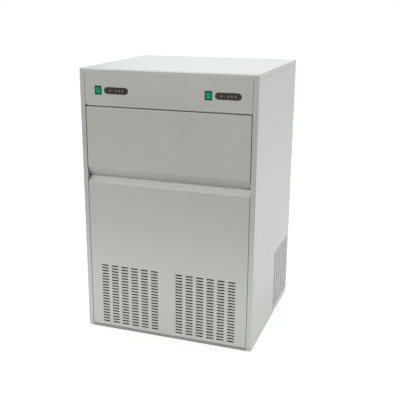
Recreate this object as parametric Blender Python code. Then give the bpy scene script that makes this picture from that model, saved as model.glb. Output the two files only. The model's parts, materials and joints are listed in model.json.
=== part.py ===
# Bullet-ice machine: two ice-making systems in one folded sheet-metal cabinet.
# Metres, +Z up. The front faces -Y and the origin is on the floor under the middle.
import math

import bmesh
import bpy
from mathutils import Matrix, Vector

# Cabinet
WIDTH = 0.660
DEPTH = 0.597
HEIGHT = 1.005
SHEET = 0.0012
CLEARANCE = 0.0003
CUTTER_OVERRUN = 0.01
BEND = 0.0015
REAR_SET_IN = 0.002
BASE_STRIP = 0.0123
BASE_SET_BACK = 0.012
BASE_FLOOR = 0.002
BASE_RIM = 0.030
COVER_SKIRT = 0.019
COVER_LIP = 0.012
COVER_RADIUS = 0.003
STILE_WIDTH = 0.0188
STILE_RETURN = 0.014
REAR_RETURN = 0.016
TOP_FLANGE = 0.018

# Front: fascia, door and lower panel
FASCIA_HEIGHT = 0.1145
FASCIA_DEPTH = 0.016
FASCIA_ROLL = 0.008
ROLL_NOTCH_WIDTH = 0.005
ROLL_NOTCH_HEIGHT = 0.006
FASCIA_GAP = 0.0009
PANEL_GAP = 0.0018
DOOR_HEIGHT = 0.222
DOOR_DEPTH = 0.018
DOOR_TOP_GAP = 0.0037
DOOR_SIDE_GAP = 0.0026
GROOVE_DEPTH = 0.020
GROOVE_UPPER = 0.0345
GROOVE_LOWER = 0.022
GROOVE_GAP = 0.001
PANEL_RETURN = 0.014
HINGE_DEPTH = 0.009
HINGE_DROP = 0.010
HINGE_PIN_RADIUS = 0.0025
HINGE_HEAD_RADIUS = 0.005
HINGE_HEAD_THICKNESS = 0.002
LINER_WALL = 0.002
PLUG_RISE = 0.012
PLUG_PLAY = 0.004
GASKET_WIDTH = 0.012

# Vents
SLOT_LENGTH = 0.0275
SLOT_HEIGHT = 0.005
SLOT_PITCH_ACROSS = 0.0406
SLOT_PITCH_UP = 0.01165
SIDE_SLOT_COLUMNS = 6
SLOT_FIRST_ROW = 0.029
SLOT_TOP_MARGIN = 0.030
SLOT_MIDDLE_MARGIN = 0.03525
SLOT_SIDE_MARGIN = 0.040
SIDE_GROUP_INSET = 0.1395
REAR_SLOT_FIRST_ROW = 0.058
REAR_SLOT_LENGTH = 0.120
REAR_SLOT_ROWS = 5
REAR_SLOT_PITCH = 0.020

# Ice bin on its deck
DECK_HEIGHT = 0.298
DECK_FLANGE = 0.022
BIN_SIDE_SPACE = 0.0285
BIN_WALL = 0.022
BIN_FRONT = 0.024
BIN_REAR_SPACE = 0.054
BIN_TOP_DROP = 0.0015
BIN_LINTEL = 0.0175
BIN_SILL_DROP = 0.0055
BIN_CORNER = 0.020
DRAIN_RADIUS = 0.010
DRAIN_WALL = 0.0015

# Controls on the fascia
CONTROL_DROP = 0.0567
SWITCH_INSET = 0.053
SWITCH_WIDTH = 0.026
SWITCH_HEIGHT = 0.0315
SWITCH_BEZEL = 0.0014
SWITCH_RIM = 0.0022
SWITCH_BODY_DEPTH = 0.024
SWITCH_CAVITY_DEPTH = 0.013
ROCKER_TILT = 8.0
ROCKER_PLAY = 0.0004
ROCKER_PIN_RADIUS = 0.0015
ROCKER_AXIS_DEPTH = 0.0045
ROCKER_BACK = 0.004
DISPLAY_STEP = 0.070
DISPLAY_INSET = 0.0846
DISPLAY_LENGTH = 0.093
DISPLAY_HEIGHT = 0.024
DISPLAY_THICKNESS = 0.008
DISPLAY_PROUD = 0.0005
BOARD_LENGTH = 0.104
BOARD_HEIGHT = 0.044
BOARD_THICKNESS = 0.0016
BOARD_BLOCK_LENGTH = 0.028
BOARD_BLOCK_HEIGHT = 0.024
BOARD_BLOCK_DEPTH = 0.0165
BOARD_BLOCK_STEP = 0.026
BOARD_PLUG_LENGTH = 0.038
BOARD_PLUG_HEIGHT = 0.010
BOARD_PLUG_DEPTH = 0.0085
BOARD_PLUG_STEP = 0.025

# Ice making systems
SYSTEM_SIDE_SPACE = 0.0245
EVAPORATOR_DROP = 0.0637
EVAPORATOR_SET_BACK = 0.022
EVAPORATOR_DECK_AHEAD = 0.076
EVAPORATOR_DECK_DEPTH = 0.165
EVAPORATOR_END_SPACE = 0.010
EVAPORATOR_WIDTH = 0.064
EVAPORATOR_HEIGHT = 0.014
FINGER_ROWS = 2
FINGER_COLUMNS = 5
FINGER_EDGE = 0.018
FINGER_ROW_PITCH = 0.032
FINGER_RADIUS = 0.007
FINGER_TIP_RADIUS = 0.0035
FINGER_LENGTH = 0.042
TRAY_END_SPACE = 0.030
TRAY_WIDTH = 0.086
TRAY_DEPTH = 0.046
TRAY_WALL = 0.002
TRAY_GAP = 0.0147
TRAY_AXIS_BACK = 0.044
TRAY_AXIS_DROP = 0.008
SHAFT_RADIUS = 0.004
SHAFT_LENGTH = 0.012
TAB_WIDTH = 0.026
TAB_GAP = 0.004
MOTOR_BODY = 0.036
MOTOR_LENGTH = 0.028

# Cooling systems
CONDENSER_MIDDLE_SPACE = 0.034
CONDENSER_HEIGHT = 0.224
CONDENSER_THICKNESS = 0.044
CONDENSER_FRONT = 0.030
CONDENSER_FINS = 10
CONDENSER_GROOVE = 0.012
CONDENSER_LEG = 0.018
CONDENSER_PLATE = 0.0015
SHROUD_MARGIN = 0.015
SHROUD_RING = 0.016
SHROUD_WALL = 0.0015
FAN_TIP_GAP = 0.006
FAN_HUB_RADIUS = 0.027
FAN_HUB_LENGTH = 0.022
FAN_BLADES = 5
FAN_BLADE_THICKNESS = 0.0018
FAN_BLADE_TWIST = 28.0
FAN_SHAFT_RADIUS = 0.004
FAN_START = 0.0035
FAN_MOTOR_RADIUS = 0.034
FAN_MOTOR_LENGTH = 0.046
FAN_MOTOR_GAP = 0.003
ARM_WIDTH = 0.014
COMPRESSOR_RADIUS = 0.072
COMPRESSOR_HEIGHT = 0.176
COMPRESSOR_INSET = 0.1315
COMPRESSOR_FOOT_X = 0.066
COMPRESSOR_FOOT_Y = 0.060
COMPRESSOR_PLATE = 0.003
MOUNT_RADIUS = 0.012
MOUNT_HEIGHT = 0.014
COMPRESSOR_SEAM = 1.04
TERMINAL_DEPTH = 0.022
TERMINAL_WIDTH = 0.040
TERMINAL_HEIGHT = 0.046
TERMINAL_EDGE = 0.004
DRIER_RADIUS = 0.011
DRIER_LENGTH = 0.078
RISER_SPREAD = 0.050
FILL_DROP_GAP = 0.006
TUBE_RADIUS = 0.004
THIN_TUBE_RADIUS = 0.003

# Connections at the rear
RISER_RECESS_SPACE = 0.027
RECESS_HEIGHT = 0.090
RECESS_DEPTH = 0.034
RECESS_X = 0.0
RECESS_DROP = 0.063
PORT_RADIUS = 0.010
VALVE_BODY = 0.026
GLAND_RADIUS = 0.009
GLAND_NUT = 0.010
RELAY_WIDTH = 0.060
RELAY_DEPTH = 0.036
RELAY_HEIGHT = 0.070
RELAY_GAP = 0.020

# Places that follow from the sizes
FRONT = -DEPTH / 2
COVER_BACK = DEPTH / 2
BACK = COVER_BACK - REAR_SET_IN
SIDE = WIDTH / 2
INNER_SIDE = SIDE - SHEET - CLEARANCE
BODY_TOP = HEIGHT - COVER_SKIRT - CLEARANCE
STILE_X = SIDE - STILE_WIDTH
FASCIA_HALF = STILE_X - FASCIA_GAP
PANEL_HALF = STILE_X - PANEL_GAP
FASCIA_BOTTOM = BODY_TOP - FASCIA_HEIGHT
DOOR_HALF = STILE_X - DOOR_SIDE_GAP
DOOR_TOP = FASCIA_BOTTOM - DOOR_TOP_GAP
DOOR_LOWER_EDGE = DOOR_TOP - DOOR_HEIGHT
GROOVE_Z = DOOR_LOWER_EDGE - GROOVE_UPPER
PANEL_TOP = GROOVE_Z - GROOVE_GAP
HINGE_Y = FRONT + HINGE_DEPTH
HINGE_Z = DOOR_TOP - HINGE_DROP
SLOT_ROWS = 1 + int((DECK_HEIGHT - SLOT_FIRST_ROW - SLOT_TOP_MARGIN) / SLOT_PITCH_UP)
FRONT_SLOT_ROOM = FASCIA_HALF - SLOT_SIDE_MARGIN - SLOT_MIDDLE_MARGIN - SLOT_LENGTH
FRONT_SLOT_COLUMNS = 1 + int(FRONT_SLOT_ROOM / SLOT_PITCH_ACROSS)
FRONT_GROUP_WIDTH = (FRONT_SLOT_COLUMNS - 1) * SLOT_PITCH_ACROSS + SLOT_LENGTH
FRONT_GROUP_CENTRE = SLOT_MIDDLE_MARGIN + FRONT_GROUP_WIDTH / 2
BIN_HALF_WIDTH = INNER_SIDE - BIN_SIDE_SPACE
BIN_FRONT_Y = FRONT + BIN_FRONT
BIN_REAR_Y = BACK - BIN_REAR_SPACE
BIN_MIDDLE_Y = (BIN_FRONT_Y + BIN_REAR_Y) / 2
BIN_BOTTOM = DECK_HEIGHT + SHEET + CLEARANCE
BIN_TOP = DOOR_TOP - BIN_TOP_DROP
BIN_SILL = DOOR_LOWER_EDGE - BIN_SILL_DROP
CONTROL_HEIGHT = BODY_TOP - CONTROL_DROP
SWITCH_X = SWITCH_INSET - FASCIA_HALF
DISPLAY_X = SWITCH_X + DISPLAY_STEP
CONTROL_SHIFT = FASCIA_HALF - DISPLAY_INSET - DISPLAY_X
SYSTEM_X = (INNER_SIDE - SYSTEM_SIDE_SPACE) / 2
EVAPORATOR_DECK = BODY_TOP - EVAPORATOR_DROP
EVAPORATOR_Y = BIN_MIDDLE_Y + EVAPORATOR_SET_BACK
HEADER_BOTTOM = EVAPORATOR_DECK - CLEARANCE - EVAPORATOR_HEIGHT
TRAY_LENGTH = 2 * (BIN_HALF_WIDTH - BIN_WALL - SYSTEM_X - TRAY_END_SPACE)
TRAY_TOP = HEADER_BOTTOM - TRAY_GAP
TRAY_AXIS_Y = EVAPORATOR_Y + TRAY_AXIS_BACK
TRAY_AXIS_Z = TRAY_TOP - TRAY_AXIS_DROP
EVAPORATOR_LENGTH = TRAY_LENGTH - 2 * EVAPORATOR_END_SPACE
FINGER_PITCH = (EVAPORATOR_LENGTH - 2 * FINGER_EDGE) / (FINGER_COLUMNS - 1)
FLOOR_TOP = BASE_FLOOR + CLEARANCE
CONDENSER_WIDTH = 2 * (SYSTEM_X - CONDENSER_MIDDLE_SPACE)
CONDENSER_Y = FRONT + CONDENSER_FRONT
CONDENSER_Z = FLOOR_TOP + CONDENSER_LEG
SHROUD_RADIUS = min(CONDENSER_WIDTH, CONDENSER_HEIGHT) / 2 - SHROUD_MARGIN
SHROUD_Y = CONDENSER_Y + CONDENSER_THICKNESS + CLEARANCE
FAN_RADIUS = SHROUD_RADIUS - FAN_TIP_GAP
FAN_Z = CONDENSER_Z + CONDENSER_HEIGHT / 2
COMPRESSOR_Y = BACK - COMPRESSOR_INSET
RISER_Y = BACK - BIN_REAR_SPACE / 2
RECESS_WIDTH = 2 * (SYSTEM_X - RISER_SPREAD - RISER_RECESS_SPACE)
RECESS_Z = DECK_HEIGHT - RECESS_DROP
RELAY_TOP = RECESS_Z - RECESS_HEIGHT / 2 - RELAY_GAP
VALVE_Y = BACK - RECESS_DEPTH - CLEARANCE - VALVE_BODY * 0.28
FILL_Z = EVAPORATOR_DECK + DECK_FLANGE / 2
FILL_Y = EVAPORATOR_Y + EVAPORATOR_WIDTH / 2 + THIN_TUBE_RADIUS * 3

STEEL = ("brushed steel", (0.40, 0.41, 0.39), 0.85, 0.42)
GALVANISED = ("galvanised sheet", (0.46, 0.47, 0.48), 0.9, 0.5)
WHITE_PLASTIC = ("white plastic", (0.82, 0.83, 0.82), 0.0, 0.4)
BLACK_PLASTIC = ("black plastic", (0.03, 0.03, 0.032), 0.0, 0.45)
DARK_GREEN = ("dark green plastic", (0.004, 0.075, 0.042), 0.0, 0.35)
GREEN_LENS = ("green lens", (0.01, 0.27, 0.11), 0.0, 0.25)
BOARD_GREEN = ("circuit board", (0.02, 0.16, 0.06), 0.0, 0.4)
COPPER = ("copper", (0.72, 0.36, 0.2), 1.0, 0.35)
NICKEL = ("nickel plate", (0.62, 0.6, 0.55), 1.0, 0.25)
ALUMINIUM = ("aluminium fins", (0.6, 0.62, 0.63), 0.95, 0.4)
BLACK_ENAMEL = ("black enamel", (0.02, 0.02, 0.02), 0.2, 0.35)
RUBBER = ("rubber", (0.025, 0.025, 0.025), 0.0, 0.7)


def clear_scene():
    for item in list(bpy.data.objects):
        bpy.data.objects.remove(item, do_unlink=True)


def material(spec):
    name, colour, metallic, roughness = spec
    found = bpy.data.materials.get(name)
    if found:
        return found
    made = bpy.data.materials.new(name)
    made.use_nodes = True
    shader = made.node_tree.nodes["Principled BSDF"]
    shader.inputs["Base Color"].default_value = (*colour, 1.0)
    shader.inputs["Metallic"].default_value = metallic
    shader.inputs["Roughness"].default_value = roughness
    return made


def finish(bm):
    """Faces point out and doubled points are merged."""
    bmesh.ops.remove_doubles(bm, verts=bm.verts, dist=1e-6)
    bmesh.ops.recalc_face_normals(bm, faces=bm.faces)
    return bm


def place(name, bm, spec, location=(0, 0, 0), rotation=(0, 0, 0), smooth=None):
    """Turns a bmesh into the named object of one sub-part."""
    mesh = bpy.data.meshes.new(name)
    bmesh.ops.dissolve_limit(finish(bm), angle_limit=math.radians(0.05), verts=bm.verts, edges=bm.edges)
    bm.to_mesh(mesh)
    bm.free()
    mesh.materials.append(material(spec))
    if smooth is not None:
        mesh.shade_smooth()
        mesh.set_sharp_from_angle(angle=math.radians(smooth))
    made = bpy.data.objects.new(name, mesh)
    made.location = location
    made.rotation_euler = rotation
    bpy.context.scene.collection.objects.link(made)
    return made


def block(x, y, z):
    """A box between two limits on each axis."""
    bm = bmesh.new()
    bmesh.ops.create_cube(bm, size=1.0)
    middle = Vector(((x[0] + x[1]) / 2, (y[0] + y[1]) / 2, (z[0] + z[1]) / 2))
    size = Matrix.Diagonal((x[1] - x[0], y[1] - y[0], z[1] - z[0], 1.0))
    bm.transform(Matrix.Translation(middle) @ size)
    return bm


def prism(outline, low, high, axis):
    """A closed outline pushed along an axis. The outline is in the other two axes, in order."""
    bm = bmesh.new()
    corners = {
        "X": lambda a, b: (low, a, b),
        "Y": lambda a, b: (a, low, b),
        "Z": lambda a, b: (a, b, low),
    }[axis]
    face = bm.faces.new([bm.verts.new(corners(a, b)) for a, b in outline])
    pushed = bmesh.ops.extrude_face_region(bm, geom=[face])["geom"]
    way = Vector([high - low if axis == letter else 0.0 for letter in "XYZ"])
    moved = [part for part in pushed if isinstance(part, bmesh.types.BMVert)]
    bmesh.ops.translate(bm, verts=moved, vec=way)
    return bm


def turned(profile, steps, axis="Z", centre=(0, 0, 0)):
    """A profile of (radius, height) points spun about an axis. A zero radius closes an end."""
    bm = bmesh.new()
    points = [bm.verts.new((radius, 0.0, height)) for radius, height in profile]
    edges = [bm.edges.new(pair) for pair in zip(points, points[1:])]
    if profile[0][0] > 0 and profile[-1][0] > 0:
        edges.append(bm.edges.new((points[-1], points[0])))
    bmesh.ops.spin(
        bm, geom=points + edges, cent=(0, 0, 0), axis=(0, 0, 1),
        angle=math.tau, steps=steps, use_merge=True,
    )
    bmesh.ops.remove_doubles(bm, verts=bm.verts, dist=1e-6)
    turns = {
        "Z": Matrix.Identity(4),
        "Y": Matrix.Rotation(-math.pi / 2, 4, "X"),
        "X": Matrix.Rotation(math.pi / 2, 4, "Y"),
    }
    bm.transform(Matrix.Translation(centre) @ turns[axis])
    return finish(bm)


def bore(radius, low, high, steps, axis, centre):
    """A cutter for a round hole that clears a pin of this radius."""
    reach = (radius + CLEARANCE) / math.cos(math.pi / steps)
    return turned([(0, low), (reach, low), (reach, high), (0, high)], steps, axis, centre)


def merged(*pieces):
    """Separate closed bodies in one bmesh."""
    bm = bmesh.new()
    for piece in pieces:
        mesh = bpy.data.meshes.new("part")
        piece.to_mesh(mesh)
        piece.free()
        bm.from_mesh(mesh)
        bpy.data.meshes.remove(mesh)
    return bm


def boolean(bm, tool, operation):
    """The exact Boolean of two closed bmeshes, through a modifier."""
    pair = []
    for side_bm in (bm, tool):
        mesh = bpy.data.meshes.new("shape")
        finish(side_bm).to_mesh(mesh)
        side_bm.free()
        made = bpy.data.objects.new("shape", mesh)
        bpy.context.scene.collection.objects.link(made)
        pair.append(made)
    body, cutter = pair
    cutter.hide_render = True
    cutter.display_type = "WIRE"
    modifier = body.modifiers.new("shape", "BOOLEAN")
    modifier.operation = operation
    modifier.solver = "EXACT"
    modifier.object = cutter
    graph = bpy.context.evaluated_depsgraph_get()
    result = bpy.data.meshes.new_from_object(body.evaluated_get(graph))
    out = bmesh.new()
    out.from_mesh(result)
    for made in pair:
        bpy.data.objects.remove(made, do_unlink=True)
    bpy.data.meshes.remove(result)
    return out


def cut(bm, *tools):
    """Cuts one tool after another. A tool may hold many separate bodies that don't meet."""
    for tool in tools:
        bm = boolean(bm, tool, "DIFFERENCE")
    return bm


def join(bm, *others):
    for other in others:
        bm = boolean(bm, other, "UNION")
    return bm


def folded(points, thickness):
    """The closed outline of a sheet of even thickness along an open path, to the left of it."""
    path = [Vector(point) for point in points]
    inner = []
    for index, point in enumerate(path):
        before = (point - path[index - 1]).normalized() if index else None
        after = (path[index + 1] - point).normalized() if index + 1 < len(path) else None
        first = before or after
        second = after or before
        normal_a = Vector((-first.y, first.x))
        normal_b = Vector((-second.y, second.x))
        share = thickness / (1.0 + normal_a.dot(normal_b))
        inner.append(point + (normal_a + normal_b) * share)
    return [tuple(point) for point in path + inner[::-1]]


def arc(centre, radius, start, end, steps):
    """Points of an arc in degrees, ends included."""
    angles = [math.radians(start + (end - start) * i / steps) for i in range(steps + 1)]
    return [(centre[0] + radius * math.cos(a), centre[1] + radius * math.sin(a)) for a in angles]


def stadium(length, height, steps=6):
    """A rounded bar outline about the origin."""
    radius = height / 2
    reach = length / 2 - radius
    return arc((reach, 0), radius, -90, 90, steps) + arc((-reach, 0), radius, 90, 270, steps)


def slot_grid(centre, columns, rows, length, pitch_across, along, through):
    """Cutters for a block of slots: along gives the axis of the slot length, through its depth."""
    cutters = []
    for column in range(columns):
        middle = centre + (column - (columns - 1) / 2) * pitch_across
        across = (middle - length / 2, middle + length / 2)
        for row in range(rows):
            z = SLOT_FIRST_ROW + row * SLOT_PITCH_UP
            up = (z - SLOT_HEIGHT / 2, z + SLOT_HEIGHT / 2)
            limits = (across, through, up) if along == "X" else (through, across, up)
            cutters.append(block(*limits))
    return cutters


def tube(name, points, radius, spec, sides=2):
    """A bent tube through its corner points, as a curve with round bends."""
    curve = bpy.data.curves.new(name, "CURVE")
    curve.dimensions = "3D"
    curve.bevel_depth = radius
    curve.bevel_resolution = sides - 1
    curve.use_fill_caps = True
    bend = radius * 2
    route = [Vector(points[0])]
    for before, corner, after in zip(points, points[1:], points[2:]):
        corner = Vector(corner)
        back = (Vector(before) - corner).normalized() * bend
        ahead = (Vector(after) - corner).normalized() * bend
        route += [corner + back, corner + ahead]
    route.append(Vector(points[-1]))
    spline = curve.splines.new("POLY")
    spline.points.add(len(route) - 1)
    for point, place_at in zip(spline.points, route):
        point.co = (*place_at, 1.0)
    curve.materials.append(material(spec))
    made = bpy.data.objects.new(name, curve)
    bpy.context.scene.collection.objects.link(made)
    return made


def parent_to(empty_name, location, children):
    """An empty on a joint axis that carries the pieces that move about it."""
    empty = bpy.data.objects.new(empty_name, None)
    empty.empty_display_size = 0.03
    empty.location = location
    bpy.context.scene.collection.objects.link(empty)
    for child in children:
        child.parent = empty
        child.matrix_parent_inverse = Matrix.Translation(location).inverted()
    return empty


def base_pan():
    """The tray that the machine stands on, set back under the front, with its rim inside the panels."""
    rim = BASE_RIM
    front = FRONT + BASE_SET_BACK
    back = BACK - 2 * (SHEET + CLEARANCE)
    pan = block((-INNER_SIDE, INNER_SIDE), (front, back), (0, rim))
    hollow = block(
        (-INNER_SIDE + SHEET, INNER_SIDE - SHEET), (front + SHEET, back - SHEET), (BASE_FLOOR, rim * 2)
    )
    # The rim is lower along the front, under the panels' returns, and clear of the rear returns.
    above = (BASE_STRIP - CLEARANCE, rim * 2)
    reliefs = [block((-SIDE, SIDE), (FRONT, FRONT + STILE_RETURN + CLEARANCE), above)]
    for side in (-1, 1):
        x = sorted((side * (SIDE - REAR_RETURN - CLEARANCE), side * SIDE))
        reliefs.append(block(x, (BACK - 2 * (SHEET + CLEARANCE) - SHEET * 2, BACK), above))
    bosses = [mounting_boss(*spot) for x in (-SYSTEM_X, SYSTEM_X) for spot in foot_places(x)]
    place("base_pan", join(cut(pan, hollow, *reliefs), merged(*bosses)), STEEL)


def side_panel(name, side):
    """One folded sheet: front stile with its return, side wall with vents, rear return, top flange."""
    rear = BACK - SHEET - CLEARANCE
    path = [
        (STILE_X, FRONT + STILE_RETURN),
        (STILE_X, FRONT),
        (SIDE - BEND, FRONT),
        (SIDE, FRONT + BEND),
        (SIDE, rear),
        (SIDE - REAR_RETURN, rear),
    ]
    outline = folded(path, SHEET)
    if side < 0:
        outline = [(-x, y) for x, y in reversed(outline)]
    panel = prism(outline, BASE_STRIP, BODY_TOP, "Z")
    flange_x = sorted((side * (SIDE - TOP_FLANGE), side * (SIDE - SHEET / 2)))
    flange = block(
        flange_x, (FRONT + STILE_RETURN + SHEET, rear - SHEET * 3), (BODY_TOP - SHEET, BODY_TOP)
    )
    panel = join(panel, flange)
    wall = sorted((side * (SIDE - SHEET * 3), side * (SIDE + SHEET)))
    cutters = slot_grid(
        BACK - SIDE_GROUP_INSET, SIDE_SLOT_COLUMNS, SLOT_ROWS, SLOT_LENGTH, SLOT_PITCH_ACROSS, "Y", wall
    )
    reach = STILE_WIDTH / 2
    pin_hole = bore(HINGE_PIN_RADIUS, -reach, reach, 8, "X", (side * STILE_X, HINGE_Y, HINGE_Z))
    place(name, cut(panel, merged(*cutters), pin_hole), STEEL)


def rear_panel():
    """The rear sheet, with long vent slots and a drawn recess for the connections."""
    panel = block((-SIDE, SIDE), (BACK - SHEET, BACK), (BASE_STRIP, BODY_TOP))
    half_w = RECESS_WIDTH / 2
    half_h = RECESS_HEIGHT / 2
    recess = block(
        (RECESS_X - half_w, RECESS_X + half_w), (BACK - RECESS_DEPTH, BACK - SHEET / 2),
        (RECESS_Z - half_h, RECESS_Z + half_h),
    )
    mouth = block(
        (RECESS_X - half_w + SHEET, RECESS_X + half_w - SHEET), (BACK - RECESS_DEPTH + SHEET, BACK + SHEET),
        (RECESS_Z - half_h + SHEET, RECESS_Z + half_h - SHEET),
    )
    panel = join(panel, recess)
    slots = []
    for centre in (-SYSTEM_X, SYSTEM_X):
        for row in range(REAR_SLOT_ROWS):
            z = REAR_SLOT_FIRST_ROW + row * REAR_SLOT_PITCH
            slots.append(block(
                (centre - REAR_SLOT_LENGTH / 2, centre + REAR_SLOT_LENGTH / 2),
                (BACK - SHEET * 2, BACK + SHEET), (z - SLOT_HEIGHT / 2, z + SLOT_HEIGHT / 2),
            ))
    holes = [port_cutter(x, radius) for x, radius in ports()]
    place("rear_panel", cut(panel, mouth, merged(*slots), *holes), STEEL)


def ports():
    """Centres and radii of the water inlet, the drain and the cable gland in the recess."""
    step = RECESS_WIDTH / 3.4
    return [
        (RECESS_X - step, PORT_RADIUS),
        (RECESS_X, DRAIN_RADIUS),
        (RECESS_X + step, GLAND_RADIUS),
    ]


def port_cutter(x, radius):
    """A hole through the recess's inner wall."""
    return bore(radius, -SHEET, SHEET, 10, "Y", (x, BACK - RECESS_DEPTH + SHEET / 2, RECESS_Z))


def top_cover():
    """A pan with a rounded rim. Its skirt turns in at the bottom and rests on the side panels."""
    skirt = HEIGHT - COVER_SKIRT
    cover = block((-SIDE, SIDE), (FRONT, COVER_BACK), (skirt, HEIGHT))
    edges = [
        edge for edge in cover.edges
        if all(v.co.z > skirt + SHEET for v in edge.verts)
        or abs(edge.verts[0].co.z - edge.verts[1].co.z) > SHEET
    ]
    bmesh.ops.bevel(cover, geom=edges, offset=COVER_RADIUS, segments=2, profile=0.5, affect="EDGES")
    hollow = block(
        (-SIDE + SHEET, SIDE - SHEET), (FRONT + SHEET, COVER_BACK - SHEET), (skirt + SHEET, HEIGHT - SHEET)
    )
    opening = block(
        (-SIDE + COVER_LIP, SIDE - COVER_LIP), (FRONT + COVER_LIP, COVER_BACK - COVER_LIP),
        (skirt - SHEET, skirt + SHEET * 2),
    )
    place("top_cover", cut(cover, join(hollow, opening)), STEEL, smooth=40)


def fascia_section(inset):
    """The fascia's section, rolled inward along the lower edge."""
    roll = FASCIA_ROLL - inset
    centre = (FRONT + FASCIA_ROLL, FASCIA_BOTTOM + FASCIA_ROLL)
    back = FRONT + FASCIA_DEPTH + (CUTTER_OVERRUN if inset else 0.0)
    return [
        (back, BODY_TOP - inset),
        (FRONT + inset, BODY_TOP - inset),
        *arc(centre, roll, 180, 270, 4),
        (back, FASCIA_BOTTOM + inset),
    ]


def control_fascia():
    """The front sheet above the door, cut for two switches and two displays."""
    shell = prism(fascia_section(0.0), -FASCIA_HALF, FASCIA_HALF, "X")
    hollow = prism(fascia_section(SHEET), -FASCIA_HALF + SHEET, FASCIA_HALF - SHEET, "X")
    through = (FRONT - SHEET, FRONT + SHEET * 2)
    # The rolled edge is nicked at its left end.
    nick = block(
        (-FASCIA_HALF - SHEET, -FASCIA_HALF + ROLL_NOTCH_WIDTH), (FRONT - SHEET, FRONT + FASCIA_ROLL),
        (FASCIA_BOTTOM - SHEET, FASCIA_BOTTOM + ROLL_NOTCH_HEIGHT),
    )
    cutters = [hollow, nick]
    for shift in (0.0, CONTROL_SHIFT):
        half_w = SWITCH_WIDTH / 2 - SWITCH_RIM + CLEARANCE
        half_h = SWITCH_HEIGHT / 2 - SWITCH_RIM + CLEARANCE
        x = SWITCH_X + shift
        cutters.append(block(
            (x - half_w, x + half_w), through, (CONTROL_HEIGHT - half_h, CONTROL_HEIGHT + half_h)
        ))
        outline = stadium(DISPLAY_LENGTH + 2 * CLEARANCE, DISPLAY_HEIGHT + 2 * CLEARANCE)
        outline = [(DISPLAY_X + shift + a, CONTROL_HEIGHT + b) for a, b in outline]
        cutters.append(prism(outline, *through, "Y"))
    place("control_fascia", cut(shell, *cutters), STEEL, smooth=35)


def lower_front_panel():
    """The front sheet below the door: two blocks of vents and the lower half of the finger groove."""
    def section(inset):
        back = FRONT + PANEL_RETURN + (CUTTER_OVERRUN if inset else 0.0)
        slope = Vector((GROOVE_DEPTH, GROOVE_LOWER)).normalized()
        # The inner face of the slope lies one sheet thickness square to the outer one.
        drop = inset / slope.x
        front_z = PANEL_TOP - GROOVE_LOWER
        rise = slope.y / slope.x
        return [
            (FRONT + inset, BASE_STRIP + inset),
            (back, BASE_STRIP + inset),
            (back, front_z + rise * (back - FRONT) - drop),
            (FRONT + inset, front_z + rise * inset - drop),
        ]

    shell = prism(section(0.0), -PANEL_HALF, PANEL_HALF, "X")
    hollow = prism(section(SHEET), -PANEL_HALF + SHEET, PANEL_HALF - SHEET, "X")
    panel = cut(shell, hollow)
    # The slope runs on past the side returns and ends in a level sill.
    start = PANEL_RETURN / 2
    rise = GROOVE_LOWER / GROOVE_DEPTH
    path = [
        (FRONT + start, PANEL_TOP - GROOVE_LOWER + rise * start - SHEET / 4),
        (FRONT + GROOVE_DEPTH, PANEL_TOP - SHEET / 4),
        (BIN_FRONT_Y - CLEARANCE, PANEL_TOP - SHEET / 4),
    ]
    sill = prism(folded(path, -SHEET / 2), -PANEL_HALF + SHEET / 2, PANEL_HALF - SHEET / 2, "X")
    panel = join(panel, sill)
    cutters = []
    for centre in (-FRONT_GROUP_CENTRE, FRONT_GROUP_CENTRE):
        cutters += slot_grid(
            centre, FRONT_SLOT_COLUMNS, SLOT_ROWS, SLOT_LENGTH, SLOT_PITCH_ACROSS, "X",
            (FRONT - SHEET, FRONT + SHEET * 2),
        )
    place("lower_front_panel", cut(panel, merged(*cutters)), STEEL)


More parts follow.
